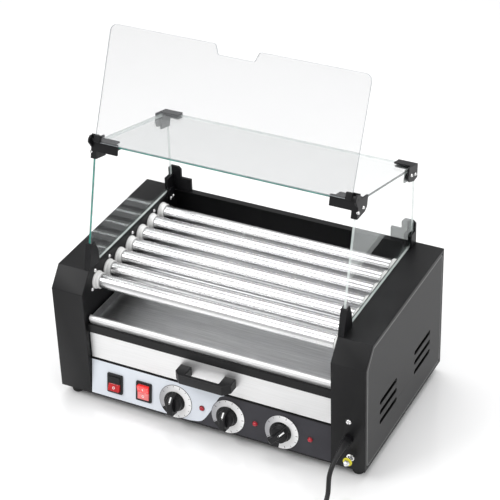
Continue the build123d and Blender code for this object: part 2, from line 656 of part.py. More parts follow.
def door_clip():
    """Clip around the pane's lower corner, with the pin that it turns on."""
    edge = door_width / 2 + 0.8
    clip = block((edge - clip_width, edge), (-door_tail - 0.3, clip_height), (-clip_half, clip_half))
    clip = fillet(clip.edges().filter_by(Axis.X), 1.2)
    clip -= block((0, door_width / 2), (-door_tail, clip_height + 1), (-door_thick / 2, door_thick / 2))
    return clip + rod_x(0, 0, clip_pin, (edge, jaw_out - 0.3))


keep("front_door", door_frame * door_pane())
for clip in both(door_clip()):
    keep("door_clips", door_frame * clip)


# ---------------------------------------------------------------- earth terminal and cord
def hexagon_nut(y, across_flats):
    """Nut or washer ring on the earth stud."""
    face = RegularPolygon(across_flats / 2, 6, major_radius=False) - Circle(stud_radius)
    nut = extrude(Plane.XZ * face, y[1] - y[0], dir=(0, 1, 0))
    return Pos(terminal_x, y[0], base + terminal_height) * nut


marker = rod_y(terminal_x, base + terminal_height, 8.0, (-13.5, -12.0))
marker -= rod_y(terminal_x, base + terminal_height, stud_radius, (-15, -10))
keep("earth_terminal", rod_y(terminal_x, base + terminal_height, stud_radius, (-stud_reach, 8.0)),
     hexagon_nut((-5.0, 0.0), 10.0), hexagon_nut((-12.0, -8.0), 10.0), marker,
     hexagon_nut((-17.5, -13.5), 10.0), hexagon_nut((sheet, sheet + 4.0), 10.0))

gland = rod_y(gland_x, base + gland_height, gland_body, (0, 14))
flange = extrude(Plane.XZ * RegularPolygon(gland_flange, 6), gland_flange_thick, dir=(0, 1, 0))
gland += Pos(gland_x, -gland_flange_thick, base + gland_height) * flange
tail = Cone(gland_flange - 1.5, cord_diameter / 2 + 1.5, gland_tail)
gland += Pos(gland_x, gland_mouth + gland_tail / 2, base + gland_height) * Rot(90, 0, 0) * tail
keep("cord_gland", gland)

cord_radius = cord_diameter / 2
coil_middle = (gland_x - 54.3, -186.0)
coil_mean, coil_half, coil_height = 42.0, 12.3, 16.6
lead_run = [(0.0, gland_mouth, 79.3), (0.0, -25.2, 79.3), (-0.7, -37.4, 76.7), (-2.1, -49.2, 71.0),
            (-3.5, -59.3, 62.3), (-4.3, -66.8, 51.4), (-3.1, -72.1, 38.8),
            (-0.6, -79.2, 26.7), (0.4, -89.8, 16.2), (-0.7, -104.5, 7.8),
            (-3.1, -124.0, cord_radius), (-4.3, -146.0, cord_radius),
            (-4.7, -164.0, cord_radius)]
tail_run = [(-71.3, -235.8, 11.0), (-90.3, -233.6, 6.8), (-109.3, -229.0, 4.6),
            (-128.3, -223.6, 6.4), (-146.3, -219.4, 10.4), (-162.3, -217.0, 12.0),
            (-176.3, -215.5, 12.0)]
cord_lead = [(gland_x + x, y, z) for x, y, z in lead_run]
cord_tail = [(gland_x + x, y, z) for x, y, z in tail_run]


def tube(points):
    """Round tube along straight runs joined by arcs as large as the runs allow."""
    corners = list(zip(points, points[1:], points[2:]))
    radii = []
    for before, here, after in corners:
        run_in, run_out = Vector(*here) - Vector(*before), Vector(*after) - Vector(*here)
        half_turn = radians(run_in.get_angle(run_out)) / 2
        radii.append(0.45 * min(run_in.length, run_out.length) / tan(half_turn))
    path = FilletPolyline(*points, radius=radii)
    start = Plane(origin=path @ 0, z_dir=path % 0)
    solid = sweep(start * Circle(cord_radius), path=path)
    share = solid.volume / (pi * cord_radius ** 2 * path.length)
    print("cord tube: length %.1f, volume share %.4f, radii %s"
          % (path.length, share, " ".join("%.0f" % r for r in radii)))
    return solid


def plug():
    """Moulded mains plug with two flat blades and an earth pin."""
    body = Pos(0, 0, 19) * Box(30, 24, 38)
    body = fillet(body.edges().filter_by(Axis.Z), 7.0)
    body = fillet(body.edges().group_by(Axis.Z)[0], 4.0)
    sleeve = Pos(0, 0, -7) * Cone(5.2, 8.5, 14)
    for x in (-6.35, 6.35):
        body += Pos(x, 2, 38 + 8) * Box(1.6, 6.4, 16)
    body += Pos(0, -6, 38 + 9) * Cylinder(2.4, 18)
    return body + sleeve


coil = Cylinder(coil_mean + coil_half, coil_height) - Cylinder(coil_mean - coil_half, coil_height)
coil = Pos(*coil_middle, coil_height / 2) * fillet(coil.edges(), cord_radius)
keep("cord_coil", coil)
keep("cord_lead", tube(cord_lead) - coil)
keep("cord_tail", tube(cord_tail) - coil)
run_on = Vector(*cord_tail[-1]) - Vector(*cord_tail[-2])
plug_frame = Plane(origin=Vector(*cord_tail[-1]) + run_on.normalized() * 14, x_dir=(0, 0, 1),
                   z_dir=run_on)
keep("power_plug", plug_frame.location * Rot(0, 0, 90) * plug())

# ---------------------------------------------------------------- footprint and files
cord_nodes = ("cord_lead", "cord_coil", "cord_tail", "power_plug")
body_solids = [s for name, solids in nodes.items() if name not in cord_nodes for s in solids]
extent = Compound(body_solids).bounding_box()
y_shift = -(extent.min.Y + extent.max.Y) / 2
os.makedirs("parts", exist_ok=True)
for name, solids in nodes.items():
    node = solids[0] if len(solids) == 1 else Compound(solids)
    export_step(Pos(0, y_shift, 0) * node, f"parts/{name}.step")
print("nodes %d, y shift %.3f, pivot y %.3f z %.3f, panel tilt %.3f, roller pitch %.3f"
      % (len(nodes), y_shift, pivot_point.Y, pivot_point.Z, panel_tilt, roller_pitch))
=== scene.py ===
from math import atan, cos, pi, radians, sin

import bmesh
import bpy
from mathutils import Matrix, Vector


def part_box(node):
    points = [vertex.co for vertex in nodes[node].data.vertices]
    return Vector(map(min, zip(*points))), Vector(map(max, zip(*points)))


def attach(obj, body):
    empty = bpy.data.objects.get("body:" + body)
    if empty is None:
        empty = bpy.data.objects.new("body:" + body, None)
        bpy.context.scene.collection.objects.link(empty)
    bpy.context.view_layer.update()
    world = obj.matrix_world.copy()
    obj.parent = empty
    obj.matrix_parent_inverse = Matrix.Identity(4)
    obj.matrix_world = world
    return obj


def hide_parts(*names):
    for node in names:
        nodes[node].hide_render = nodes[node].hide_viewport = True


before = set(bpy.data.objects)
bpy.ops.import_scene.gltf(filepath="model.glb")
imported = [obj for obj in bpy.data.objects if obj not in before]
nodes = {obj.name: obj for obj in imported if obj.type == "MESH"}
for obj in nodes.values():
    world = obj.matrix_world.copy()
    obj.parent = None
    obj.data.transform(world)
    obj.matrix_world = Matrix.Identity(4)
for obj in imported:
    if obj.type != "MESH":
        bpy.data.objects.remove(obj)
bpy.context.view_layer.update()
scene = bpy.context.scene

# ---- places and sizes (metres)
MM = 0.001
tower_low, tower_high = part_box("right_tower_shell")
front_y = tower_low.y  # the towers' front faces
base_z, top_z = tower_low.z, tower_high.z  # underside and top of the casing
casing_depth = 335.0 * MM
wall_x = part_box("right_inner_wall")[0].x  # inner faces of the inner walls
panel_tilt = radians(8.324)
hood_tilt = radians(14.7)
hood_front = 89.1 * MM  # from the towers' front to the top glass
door_lean = radians(23.8)
roller_count = 7
roller_boxes = [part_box(f"roller_tube_{n + 1}") for n in range(roller_count)]
control_up, lamp_up = 31.5 * MM, 33.0 * MM  # up the sloping panel
knob_places = (-62.4 * MM, 37.6 * MM, 137.6 * MM)
knob_turns = (0.0, 0.0, radians(-45))
lamp_places = (-11.9 * MM, 88.4 * MM, 189.6 * MM)
switch_places = (-181.0 * MM, -124.0 * MM)
rocker_tilt = radians(9)


def add_object(name, data):
    """A new object in the scene."""
    made = bpy.data.objects.new(name, data)
    scene.collection.objects.link(made)
    return made


def casing_point(x, y, z):
    """A point given from the towers' front faces and the floor, in millimetres."""
    return Vector((x * MM, front_y + y * MM, z * MM))


def turned_at(point, angle, axis):
    """Placing matrix of a point, turned about one axis there."""
    return Matrix.Translation(point) @ Matrix.Rotation(angle, 4, axis)


def axes_at(origin, across, up, out):
    """Placing matrix of a tilted frame."""
    turn = Matrix((across, up, out)).transposed().to_4x4()
    return Matrix.Translation(origin) @ turn


panel_frame = axes_at((0, front_y, base_z), (1, 0, 0), (0, sin(panel_tilt), cos(panel_tilt)),
                      (0, -cos(panel_tilt), sin(panel_tilt)))
hood_frame = axes_at(casing_point(0, hood_front / MM, 471.9), (1, 0, 0),
                     (0, cos(hood_tilt), -sin(hood_tilt)), (0, sin(hood_tilt), cos(hood_tilt)))
pivot = hood_frame @ Vector((0, -9 * MM, 7 * MM))
door_frame = axes_at(pivot, (1, 0, 0), (0, sin(door_lean), cos(door_lean)),
                     (0, -cos(door_lean), sin(door_lean)))

# ---- camera
camera_data = bpy.data.cameras.new("camera")
camera = add_object("camera", camera_data)
scene.camera = camera
azimuth, elevation, roll = radians(27.595), radians(32.895), radians(-1.991)
ahead = Vector((-sin(azimuth) * cos(elevation), cos(azimuth) * cos(elevation), -sin(elevation)))
level_right = ahead.cross(Vector((0, 0, 1))).normalized()
level_up = level_right.cross(ahead)
right = level_right * cos(roll) + level_up * sin(roll)
upward = level_up * cos(roll) - level_right * sin(roll)
camera.matrix_world = axes_at(casing_point(1152.32, -2027.83, 1879.51), right, upward, -ahead)
camera_data.lens, camera_data.sensor_width = 126.03, 36.0
camera_data.clip_start, camera_data.clip_end = 0.1, 30.0
scene.view_settings.view_transform = "Standard"


# ---- shader maths
class Wire:
    """A socket in a node tree. Arithmetic on wires adds Math nodes."""

    def __init__(self, tree, socket):
        self.tree, self.socket = tree, socket

    def math(self, operation, *values):
        made = add_node(self.tree, "ShaderNodeMath", {"operation": operation})
        for place, value in enumerate(values):
            feed(self.tree, made.inputs[place], value)
        return Wire(self.tree, made.outputs[0])

    def step(self, start, end):
        """0 before start, 1 after end, smooth between."""
        made = add_node(self.tree, "ShaderNodeMapRange", {"interpolation_type": "SMOOTHSTEP"})
        for name, value in (("Value", self), ("From Min", start), ("From Max", end)):
            feed(self.tree, made.inputs[name], value)
        return Wire(self.tree, made.outputs[0])

    def between(self, low, high, soft):
        return self.step(low - soft, low + soft) * (1 - self.step(high - soft, high + soft))


def wire_method(operation, swapped=False):
    """A Wire method for one Math operation with another wire or a number."""
    if swapped:
        return lambda wire, other: wire.math(operation, other, wire)
    return lambda wire, other: wire.math(operation, wire, other)


for word, operation in (("add", "ADD"), ("sub", "SUBTRACT"), ("mul", "MULTIPLY")):
    setattr(Wire, f"__{word}__", wire_method(operation))
    setattr(Wire, f"__r{word}__", wire_method(operation, swapped=True))
Wire.__pow__, Wire.__gt__ = wire_method("POWER"), wire_method("GREATER_THAN")
Wire.low, Wire.high = wire_method("MINIMUM"), wire_method("MAXIMUM")


def feed(tree, socket, value):
    """Link a wire to a socket, or set the socket to a value."""
    if isinstance(value, Wire):
        tree.links.new(value.socket, socket)
    elif isinstance(value, (tuple, list)) and len(value) == 3 and socket.type == "RGBA":
        socket.default_value = (*value, 1.0)
    else:
        socket.default_value = value


def add_node(tree, kind, settings=None, **inputs):
    """A node with its settings made first and then its sockets, named with _ for a space."""
    made = tree.nodes.new(kind)
    for name, value in (settings or {}).items():
        setattr(made, name, value)
    for name, value in inputs.items():
        feed(tree, made.inputs[name.replace("_", " ")], value)
    return made


class Paint:
    """A material in the making: its shader, its coordinates and the patterns it is made of."""

    def __init__(self, name, **values):
        self.material = bpy.data.materials.new(name)
        self.material.use_nodes = True
        self.tree = self.material.node_tree
        self.shader = self.tree.nodes["Principled BSDF"]
        self.set(**values)
        coordinates = add_node(self.tree, "ShaderNodeTexCoord")
        self.place = Wire(self.tree, coordinates.outputs["Object"])
        split = add_node(self.tree, "ShaderNodeSeparateXYZ", Vector=self.place)
        self.x, self.y, self.z = (Wire(self.tree, split.outputs[axis]) for axis in "XYZ")

    def set(self, **values):
        """Give the shader's inputs, named with _ for a space, their values."""
        for key, value in values.items():
            feed(self.tree, self.shader.inputs[key.replace("_", " ")], value)
        return self

    def noise(self, scale, detail=3.0, stretch=None, roughness=0.5):
        where = self.place
        if stretch:
            mapped = add_node(self.tree, "ShaderNodeMapping", None, Vector=where, Scale=stretch)
            where = Wire(self.tree, mapped.outputs[0])
        made = add_node(self.tree, "ShaderNodeTexNoise", None, Vector=where, Scale=scale,
                        Detail=detail, Roughness=roughness)
        return Wire(self.tree, made.outputs["Fac"])

    def mix(self, factor, first, second):
        made = add_node(self.tree, "ShaderNodeMix", {"data_type": "RGBA"})
        feed(self.tree, made.inputs[0], factor)
        feed(self.tree, made.inputs[6], first)
        feed(self.tree, made.inputs[7], second)
        return Wire(self.tree, made.outputs[2])

    def bump(self, height, strength, distance):
        made = add_node(self.tree, "ShaderNodeBump", None, Height=height, Strength=strength,
                        Distance=distance)
        return self.set(Normal=Wire(self.tree, made.outputs["Normal"]))


def cloud_and_grain(paint):
    """The coarse and the fine pattern of a powder coat."""
    return paint.noise(9.0, 4.0), paint.noise(1500.0, 2.0)


def powder_coat(name, dark, light, rough):
    """Fine-textured black powder coat, slightly uneven and lightly rubbed."""
    paint = Paint(name, Metallic=0.0, Specular_IOR_Level=0.22)
    cloud, grain = cloud_and_grain(paint)
    paint.set(Base_Color=paint.mix(cloud.step(0.3, 0.7), dark, light),
              Roughness=rough + 0.10 * cloud + 0.05 * grain)
    paint.bump(grain, 0.14, 0.00025)
    return paint.material


def brushed(name, colour, darker, rough, stretch, strength=0.05):
    """Stainless sheet brushed along its longest direction."""
    paint = Paint(name, Metallic=1.0)
    lines = paint.noise(1.0, 5.0, stretch, 0.65)
    cloud = paint.noise(14.0, 3.0)
    paint.set(Base_Color=paint.mix(lines.step(0.25, 0.8), darker, colour),
              Roughness=rough + 0.12 * lines + 0.06 * cloud)
    paint.bump(lines, strength, 0.0002)
    return paint.material


def moulded(name, colour, lighter, rough, grain_size=900.0, shine=0.4):
    """Moulded plastic with a fine grain."""
    paint = Paint(name, Specular_IOR_Level=shine)
    grain = paint.noise(grain_size, 2.0)
    cloud = paint.noise(25.0, 3.0)
    paint.set(Base_Color=paint.mix(cloud.step(0.35, 0.7), colour, lighter),
              Roughness=rough + 0.12 * grain + 0.05 * cloud)
    paint.bump(grain, 0.10, 0.0002)
    return paint.material


def clear_sheet(name, tint, alpha, rough, smears):
    """Clear pane: see-through, mirroring more at a slant, with faint wiping marks in its gloss."""
    paint = Paint(name, Base_Color=tint, Metallic=1.0)
    marks = paint.noise(7.0, 4.0, (1.0, 1.0, 2.2))
    slant = Wire(paint.tree, add_node(paint.tree, "ShaderNodeLayerWeight", None,
                                      Blend=0.5).outputs["Facing"])
    paint.set(Roughness=rough + smears * marks, Alpha=alpha + 0.015 * marks + 0.85 * slant ** 5.0)
    return paint.material


def glass_rim(name, colour, deep, alpha):
    """Ground edge of a pane: where the glass shows its own colour, or a painted highlight or
    painted shade in its place.
    """
    paint = Paint(name, IOR=1.5, Roughness=0.22)
    marks = paint.noise(60.0, 3.0)
    paint.set(Base_Color=paint.mix(marks.step(0.3, 0.7), colour, deep), Alpha=alpha)
    return paint.material


black_coat = powder_coat("black_powder_coat", (0.0042, 0.0042, 0.0048),
                         (0.0075, 0.0075, 0.0082), 0.34)


def cover_paint():
    """Grey powder coat of the side covers, with a painted highlight as a light band along the fold
    near the cover's edge.
    """
    paint = Paint("cover_powder_coat", Metallic=0.0, Specular_IOR_Level=0.22)
    cloud, grain = cloud_and_grain(paint)
    chamfer, chamfer_foot = radians(50.6), 222.5 * MM  # cut front corner of the cover
    fold_in = 7.1 * MM  # from the cover's edge to its fold
    along_y, up_z = paint.y - front_y, paint.z
    fold = ((along_y - fold_in).low(top_z - fold_in - up_z)
            .low((along_y * sin(chamfer) - (up_z - chamfer_foot) * cos(chamfer)) - fold_in)
            .low(up_z - base_z - fold_in).low(casing_depth - fold_in - along_y))
    # painted highlight: a light grey band along the fold, where the edge would catch the light
    fold_highlight = fold.between(-0.2 * MM, 1.5 * MM, 0.2 * MM)
    grey = paint.mix(cloud.step(0.3, 0.7), (0.040, 0.040, 0.041), (0.050, 0.050, 0.051))
    paint.set(Base_Color=paint.mix(fold_highlight, grey, (0.26, 0.26, 0.26)),
              Roughness=0.46 + 0.10 * cloud + 0.05 * grain)
    paint.bump(grain, 0.14, 0.00025)
    return paint.material


cover_coat = cover_paint()
# dark gloss coat of the bowls that close the vent slots: painted shade for the dark inside of the
# open slots
vent_shade_coat = powder_coat("vent_painted_shade_coat", (0.003, 0.003, 0.003), (0.005, 0.005, 0.005), 0.10)


def polished(name, colour, duller, rough):
    """Polished chrome steel, a little duller in places."""
    paint = Paint(name, Metallic=1.0)
    cloud = paint.noise(9.0, 2.0)
    paint.set(Base_Color=paint.mix(cloud.step(0.3, 0.7), duller, colour),
              Roughness=rough + 0.05 * cloud)
    return paint.material


roller_steel = polished("polished_roller_steel", (0.74, 0.74, 0.74), (0.68, 0.68, 0.69), 0.24)
tray_steel = brushed("brushed_tray_steel", (0.66, 0.665, 0.67), (0.42, 0.425, 0.43), 0.22,
                     (16.0, 900.0, 900.0))
drawer_steel = brushed("brushed_drawer_steel", (0.84, 0.84, 0.84), (0.76, 0.76, 0.76), 0.42,
                       (10.0, 700.0, 700.0), strength=0.02)
inner_steel = brushed("galvanised_sheet", (0.62, 0.63, 0.64), (0.45, 0.46, 0.48), 0.35,
                      (60.0, 60.0, 60.0))
shaft_steel = brushed("turned_steel", (0.70, 0.69, 0.68), (0.5, 0.5, 0.5), 0.25,
                      (900.0, 60.0, 60.0))
chain_steel = brushed("oiled_chain_steel", (0.35, 0.34, 0.32), (0.15, 0.14, 0.13), 0.35,
                      (700.0, 250.0, 250.0))
heater_steel = brushed("heater_sheath_steel", (0.36, 0.33, 0.30), (0.22, 0.20, 0.18), 0.45,
                       (40.0, 300.0, 300.0))
bright_steel = brushed("nickel_plated_steel", (0.88, 0.88, 0.88), (0.7, 0.7, 0.7), 0.14,
                       (300.0, 300.0, 300.0))
white_plastic = moulded("white_bushing_plastic", (0.82, 0.82, 0.81), (0.88, 0.88, 0.87), 0.38)
black_plastic = moulded("black_moulded_plastic", (0.004, 0.004, 0.005), (0.007, 0.007, 0.008), 0.30,
                        shine=0.3)
clip_plastic = moulded("black_clip_plastic", (0.004, 0.004, 0.005), (0.008, 0.008, 0.009), 0.36,
                       shine=0.25)
motor_grey = moulded("motor_grey_paint", (0.16, 0.17, 0.19), (0.22, 0.23, 0.25), 0.4)
foot_rubber = moulded("foot_rubber", (0.008, 0.008, 0.008), (0.014, 0.014, 0.014), 0.62)
cord_rubber = moulded("cord_rubber", (0.007, 0.007, 0.008), (0.012, 0.012, 0.013), 0.40, 600.0)
white_print = moulded("white_print", (0.84, 0.84, 0.84), (0.9, 0.9, 0.9), 0.4)
black_print = moulded("black_print", (0.006, 0.006, 0.007), (0.01, 0.01, 0.01), 0.4)


def faded_silver(name):
    """Dial print that goes from grey on a dial's left to white on its right."""
    paint = Paint(name, Roughness=0.4)
    dials = (paint.x + 0.1124) * 10.0  # one dial every 100 mm
    across = dials.math("FRACT", dials) - 0.5
    paint.set(Base_Color=paint.mix(across.step(-0.30, 0.06) * (0.92 + 0.08 * paint.noise(300.0)),
                                   (0.38, 0.38, 0.40), (0.97, 0.97, 0.97)))
    return paint.material


dial_silver = faded_silver("silver_dial_print")
light_film = moulded("light_panel_film", (0.70, 0.74, 0.80), (0.74, 0.78, 0.84), 0.34)
dark_film = moulded("charcoal_panel_film", (0.026, 0.025, 0.032), (0.032, 0.031, 0.039), 0.34)
marker_yellow = moulded("yellow_marker", (0.78, 0.70, 0.03), (0.85, 0.78, 0.06), 0.4)
hood_glass = clear_sheet("hood_glass", (0.88, 0.93, 0.92), 0.035, 0.01, 0.02)
pane_rim = glass_rim("hood_glass_rim", (0.035, 0.25, 0.20), (0.015, 0.13, 0.11), 0.92)
# the pale and the dark rim colours are a painted highlight and painted shade on the glass edges
rim_painted_highlight = glass_rim("glass_rim_painted_highlight", (0.78, 0.84, 0.82), (0.62, 0.70, 0.68), 0.60)
rim_painted_shade = glass_rim("glass_rim_painted_shade", (0.06, 0.07, 0.07), (0.03, 0.035, 0.035), 0.85)
door_acrylic = clear_sheet("door_acrylic", (0.62, 0.63, 0.65), 0.14, 0.10, 0.05)
door_rim = glass_rim("door_acrylic_rim", (0.42, 0.45, 0.47), (0.30, 0.33, 0.35), 0.75)


def lit_red(name, colour, deep, glow):
    """Red lens that glows by the given strength, its red varying in patches; lit by a lamp behind
    it, or painted glow where there is none.
    """
    paint = Paint(name, Roughness=0.12, Coat_Weight=0.6, Coat_Roughness=0.05)
    cloud = paint.noise(120.0, 3.0)
    colours = paint.mix(cloud.step(0.3, 0.7), colour, deep)
    paint.set(Base_Color=colours, Emission_Color=colours, Emission_Strength=glow)
    return paint.material


lamp_red = lit_red("lamp_lens_red", (0.50, 0.004, 0.02), (0.30, 0.002, 0.012), 0.10)
# the left rocker has no lamp: its faint glow is painted glow
rocker_red_painted_glow = lit_red("rocker_red_painted_glow", (0.52, 0.006, 0.010), (0.38, 0.004, 0.007), 0.12)
lamp_rim = lit_red("lamp_rim_red", (0.16, 0.002, 0.008), (0.09, 0.001, 0.005), 0.0)
rocker_lit = lit_red("rocker_lit_red", (0.80, 0.035, 0.035), (0.70, 0.02, 0.02), 0.45)
rocker_pale = lit_red("rocker_pale_lens", (0.72, 0.17, 0.17), (0.60, 0.10, 0.10), 0.25)


# ---- mesh helpers
def finish_mesh(bm, name, body, materials, smooth=35.0, stands_for=(), turn_out=True):
    """Make an object of a bmesh: merged, facing outwards, smooth under an angle, riding a body."""
    bmesh.ops.remove_doubles(bm, verts=bm.verts, dist=1e-6)
    if turn_out:
        bmesh.ops.recalc_face_normals(bm, faces=bm.faces)
    for face in bm.faces:
        face.smooth = True
    for edge in bm.edges:
        if len(edge.link_faces) == 2:
            turn = edge.calc_face_angle(0.0)
            small, large = sorted(face.calc_area() for face in edge.link_faces)
            beside_flat = turn > radians(4) and large > 2e-4 and large > 10 * small
            edge.smooth = turn < radians(smooth) and not beside_flat
    mesh = bpy.data.meshes.new(name)
    bm.to_mesh(mesh)
    bm.free()
    piece = add_object(name, mesh)
    for material in materials:
        mesh.materials.append(material)
    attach(piece, body)
    if stands_for:
        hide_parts(*stands_for)
    return piece


def add_slab(bm, outline, low, high, matrix, bevel=0.0, segments=3, material=0, rim=None,
             angle=25.0):
    """Flat outline between two heights, placed by a matrix, with rounded edges."""
    own = bmesh.new()
    corners = [own.verts.new((x, y, low)) for x, y in outline]
    face = own.faces.new(corners)
    raised = bmesh.ops.extrude_face_region(own, geom=[face])["geom"]
    lifted = [part for part in raised if isinstance(part, bmesh.types.BMVert)]
    bmesh.ops.translate(own, verts=lifted, vec=(0, 0, high - low))
    bmesh.ops.recalc_face_normals(own, faces=own.faces)
    for part in own.faces:
        part.material_index = material
        if rim is not None and abs(part.normal.z) < 0.5:
            part.material_index = rim
    if bevel:
        sharp = [e for e in own.edges if e.calc_face_angle(0.0) > radians(angle)]
        bmesh.ops.bevel(own, geom=sharp, offset=bevel, segments=segments, affect="EDGES",
                        profile=0.5, clamp_overlap=True,
                        material=-1 if rim is None else rim)
    own.transform(matrix)
    scratch = bpy.data.meshes.new("scratch")
    own.to_mesh(scratch)
    own.free()
    bm.from_mesh(scratch)
    bpy.data.meshes.remove(scratch)


def add_block(bm, x, y, z, matrix=Matrix(), bevel=0.0, segments=3, material=0):
    """Rounded box between pairs of coordinates."""
    outline = ((x[0], y[0]), (x[1], y[0]), (x[1], y[1]), (x[0], y[1]))
    add_slab(bm, outline, z[0], z[1], matrix, bevel, segments, material)


def circle_points(radius, count):
    """Points at even angles round the origin."""
    return [(radius * cos(2 * pi * n / count), radius * sin(2 * pi * n / count))
            for n in range(count)]


def bridge(bm, low, high, material=0):
    """Faces between two loops of vertices, either of which may be a single point."""
    for n in range(max(len(low), len(high))):
        quad = [low[n % len(low)], low[(n + 1) % len(low)],
                high[(n + 1) % len(high)], high[n % len(high)]]
        corners = [v for k, v in enumerate(quad) if v not in quad[:k]]
        if len(corners) > 2:
            bm.faces.new(corners).material_index = material


def add_lathe(bm, profile, matrix, segments=48, material=0):
    """Closed or pole-to-pole (radius, height) profile turned round the matrix's z axis."""
    rings = []
    for radius, height in profile:
        if radius < 1e-7:
            rings.append([bm.verts.new(matrix @ Vector((0, 0, height)))])
            continue
        rings.append([bm.verts.new(matrix @ Vector((x, y, height)))
                      for x, y in circle_points(radius, segments)])
    for low, high in zip(rings, rings[1:]):
        bridge(bm, low, high, material)


def rounded(outline, radius, count=6):
    """Outline with every corner rounded, or each corner by its own radius."""
    radii = radius if isinstance(radius, (list, tuple)) else [radius] * len(outline)
    points = [Vector(p) for p in outline]
    result = []
    for n, (here, size) in enumerate(zip(points, radii)):
        before, after = points[n - 1], points[(n + 1) % len(points)]
        if size <= 0:
            result.append(here)
            continue
        to_before, to_after = (before - here).normalized(), (after - here).normalized()
        half_angle = to_before.angle(to_after) / 2
        reach = size / abs(sin(half_angle)) * cos(half_angle)
        start, end = here + to_before * reach, here + to_after * reach
        for k in range(count + 1):
            t = k / count
            result.append(start * (1 - t) ** 2 + here * 2 * t * (1 - t) + end * t ** 2)
    return [tuple(p) for p in result]


def ring_profile(outer, inner, low, high, edge):
    """Closed profile of a ring with small rounded edges."""
    return [(inner, low + edge), (inner + edge, low), (outer - edge, low), (outer, low + edge),
            (outer, high - edge), (outer - edge, high), (inner + edge, high), (inner, high - edge),
            (inner, low + edge)]


def in_mm(points):
    """Pairs given in millimetres, in metres."""
    return [(a * MM, b * MM) for a, b in points]


def panel_at(across, up, out=0.0):
    """Placing matrix of a point on the sloping panel."""
    return panel_frame @ Matrix.Translation((across, up, out))


def give(material, *names):
    """Give CAD nodes a material in every slot."""
    for name in names:
        mesh = nodes[name].data
        if not mesh.materials:
            mesh.materials.append(material)
        for place in range(len(mesh.materials)):
            mesh.materials[place] = material


# ---- mains cord
cord_points = [(260.3, -14.0, 79.3), (260.3, -25.2, 79.3), (259.6, -37.4, 76.7),
               (258.2, -49.2, 71.0), (256.8, -59.3, 62.3), (256.0, -66.8, 51.4),
               (257.2, -72.1, 38.8), (259.7, -79.2, 26.7), (260.7, -89.8, 16.2),
               (259.6, -104.5, 7.8), (257.2, -124.0, 4.0), (256.0, -146.0, 4.0),
               (255.6, -164.0, 4.0)]
cord_end = [(189.0, -235.8, 11.0), (170.0, -233.6, 6.8), (151.0, -229.0, 4.6),
            (132.0, -223.6, 6.4), (114.0, -219.4, 10.4), (98.0, -217.0, 12.0),
            (84.0, -215.5, 12.0)]
coil_x, coil_y = 206.0, -186.0
turn_steps, climb_from, climb_steps = 16, 11, 5  # points in a turn, and where it shifts over
coil_turns = ((50.0, 4.1), (42.0, 4.1), (34.0, 4.1), (34.0, 12.3), (42.0, 12.3), (50.0, 12.3))
coil_points = []
for turn, (radius, height) in enumerate(coil_turns):
    last = turn == len(coil_turns) - 1
    after_radius, after_height = coil_turns[min(turn + 1, len(coil_turns) - 1)]
    steps = turn_steps // 4 if last else turn_steps
    for step in range(steps):
        share = 0.0 if last else max(0.0, (step - climb_from) / climb_steps)
        angle = -2 * pi * step / turn_steps
        reach = radius + (after_radius - radius) * share
        coil_points.append((coil_x + reach * cos(angle), coil_y + reach * sin(angle),
                            height + (after_height - height) * share))
coil_exit = (coil_x, coil_y - coil_turns[-1][0], coil_turns[-1][1])
route = cord_points + coil_points + [coil_exit] + cord_end
cord_curve = bpy.data.curves.new("mains_cord", "CURVE")
cord_curve.dimensions = "3D"
spline = cord_curve.splines.new("NURBS")
spline.points.add(len(route) - 1)
for point, place in zip(spline.points, route):
    point.co = (*casing_point(*place), 1.0)
spline.order_u = 3
spline.use_endpoint_u = True
cord_curve.resolution_u = 6
cord_curve.bevel_depth = 4.0 * MM
cord_curve.bevel_resolution = 6
cord_curve.use_fill_caps = True
mains_cord = add_object("mains_cord", cord_curve)
cord_curve.materials.append(cord_rubber)
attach(mains_cord, "chassis")
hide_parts("cord_lead", "cord_coil", "cord_tail")

# ---- casing
give(black_coat, "left_tower_shell", "right_tower_shell", "left_inner_wall", "right_inner_wall",
     "back_panel", "control_panel", "front_rail", "base_pan")
give(cover_coat, "left_side_cover", "right_side_cover")
give(inner_steel, "warmer_deck", "slide_runners", "element_bars")
give(heater_steel, "heating_elements", "warmer_element")
give(chain_steel, "drive_chain")
give(motor_grey, "gear_motor")
give(black_plastic, "thermostats", "cord_gland", "power_plug")
give(shaft_steel, "motor_sprocket", *(f"roller_shaft_{n + 1}" for n in range(roller_count)))


# ---- geometry nodes
class Grower:
    """A geometry node tree in the making, with named inputs and one output mesh."""

    def __init__(self, name):
        self.tree = bpy.data.node_groups.new(name, "GeometryNodeTree")
        self.tree.interface.new_socket("Geometry", in_out="INPUT",
                                       socket_type="NodeSocketGeometry")
        self.tree.interface.new_socket("Geometry", in_out="OUTPUT",
                                       socket_type="NodeSocketGeometry")
        self.inputs = self.tree.nodes.new("NodeGroupInput")
        self.output = self.tree.nodes.new("NodeGroupOutput")

    def size(self, name, kind="NodeSocketFloat"):
        """A new named input, as a wire."""
        self.tree.interface.new_socket(name, in_out="INPUT", socket_type=kind)
        return Wire(self.tree, self.inputs.outputs[name])

    def geometry(self):
        return Wire(self.tree, self.inputs.outputs["Geometry"])

    def add(self, kind, settings=None, **inputs):
        kind = kind if "Node" in kind else "GeometryNode" + kind
        return Wire(self.tree, add_node(self.tree, kind, settings, **inputs).outputs[0])

    def vector(self, x, y, z):
        return self.add("ShaderNodeCombineXYZ", None, X=x, Y=y, Z=z)

    def place_on_seeds(self, instance, rotation):
        """A copy on every seed point."""
        return self.add("InstanceOnPoints", Points=self.geometry(), Instance=instance,
                        Rotation=rotation)

    def join(self, *parts):
        made = self.tree.nodes.new("GeometryNodeJoinGeometry")
        for part in parts:
            self.tree.links.new(part.socket, made.inputs[0])
        return Wire(self.tree, made.outputs[0])

    def end(self, geometry):
        """Realize the instances, give them the input's material and send them out."""
        material = self.size("Material", "NodeSocketMaterial")
        real = self.add("RealizeInstances", Geometry=geometry)
        painted = self.add("SetMaterial", Geometry=real, Material=material)
        self.tree.links.new(painted.socket, self.output.inputs[0])
        return self.tree


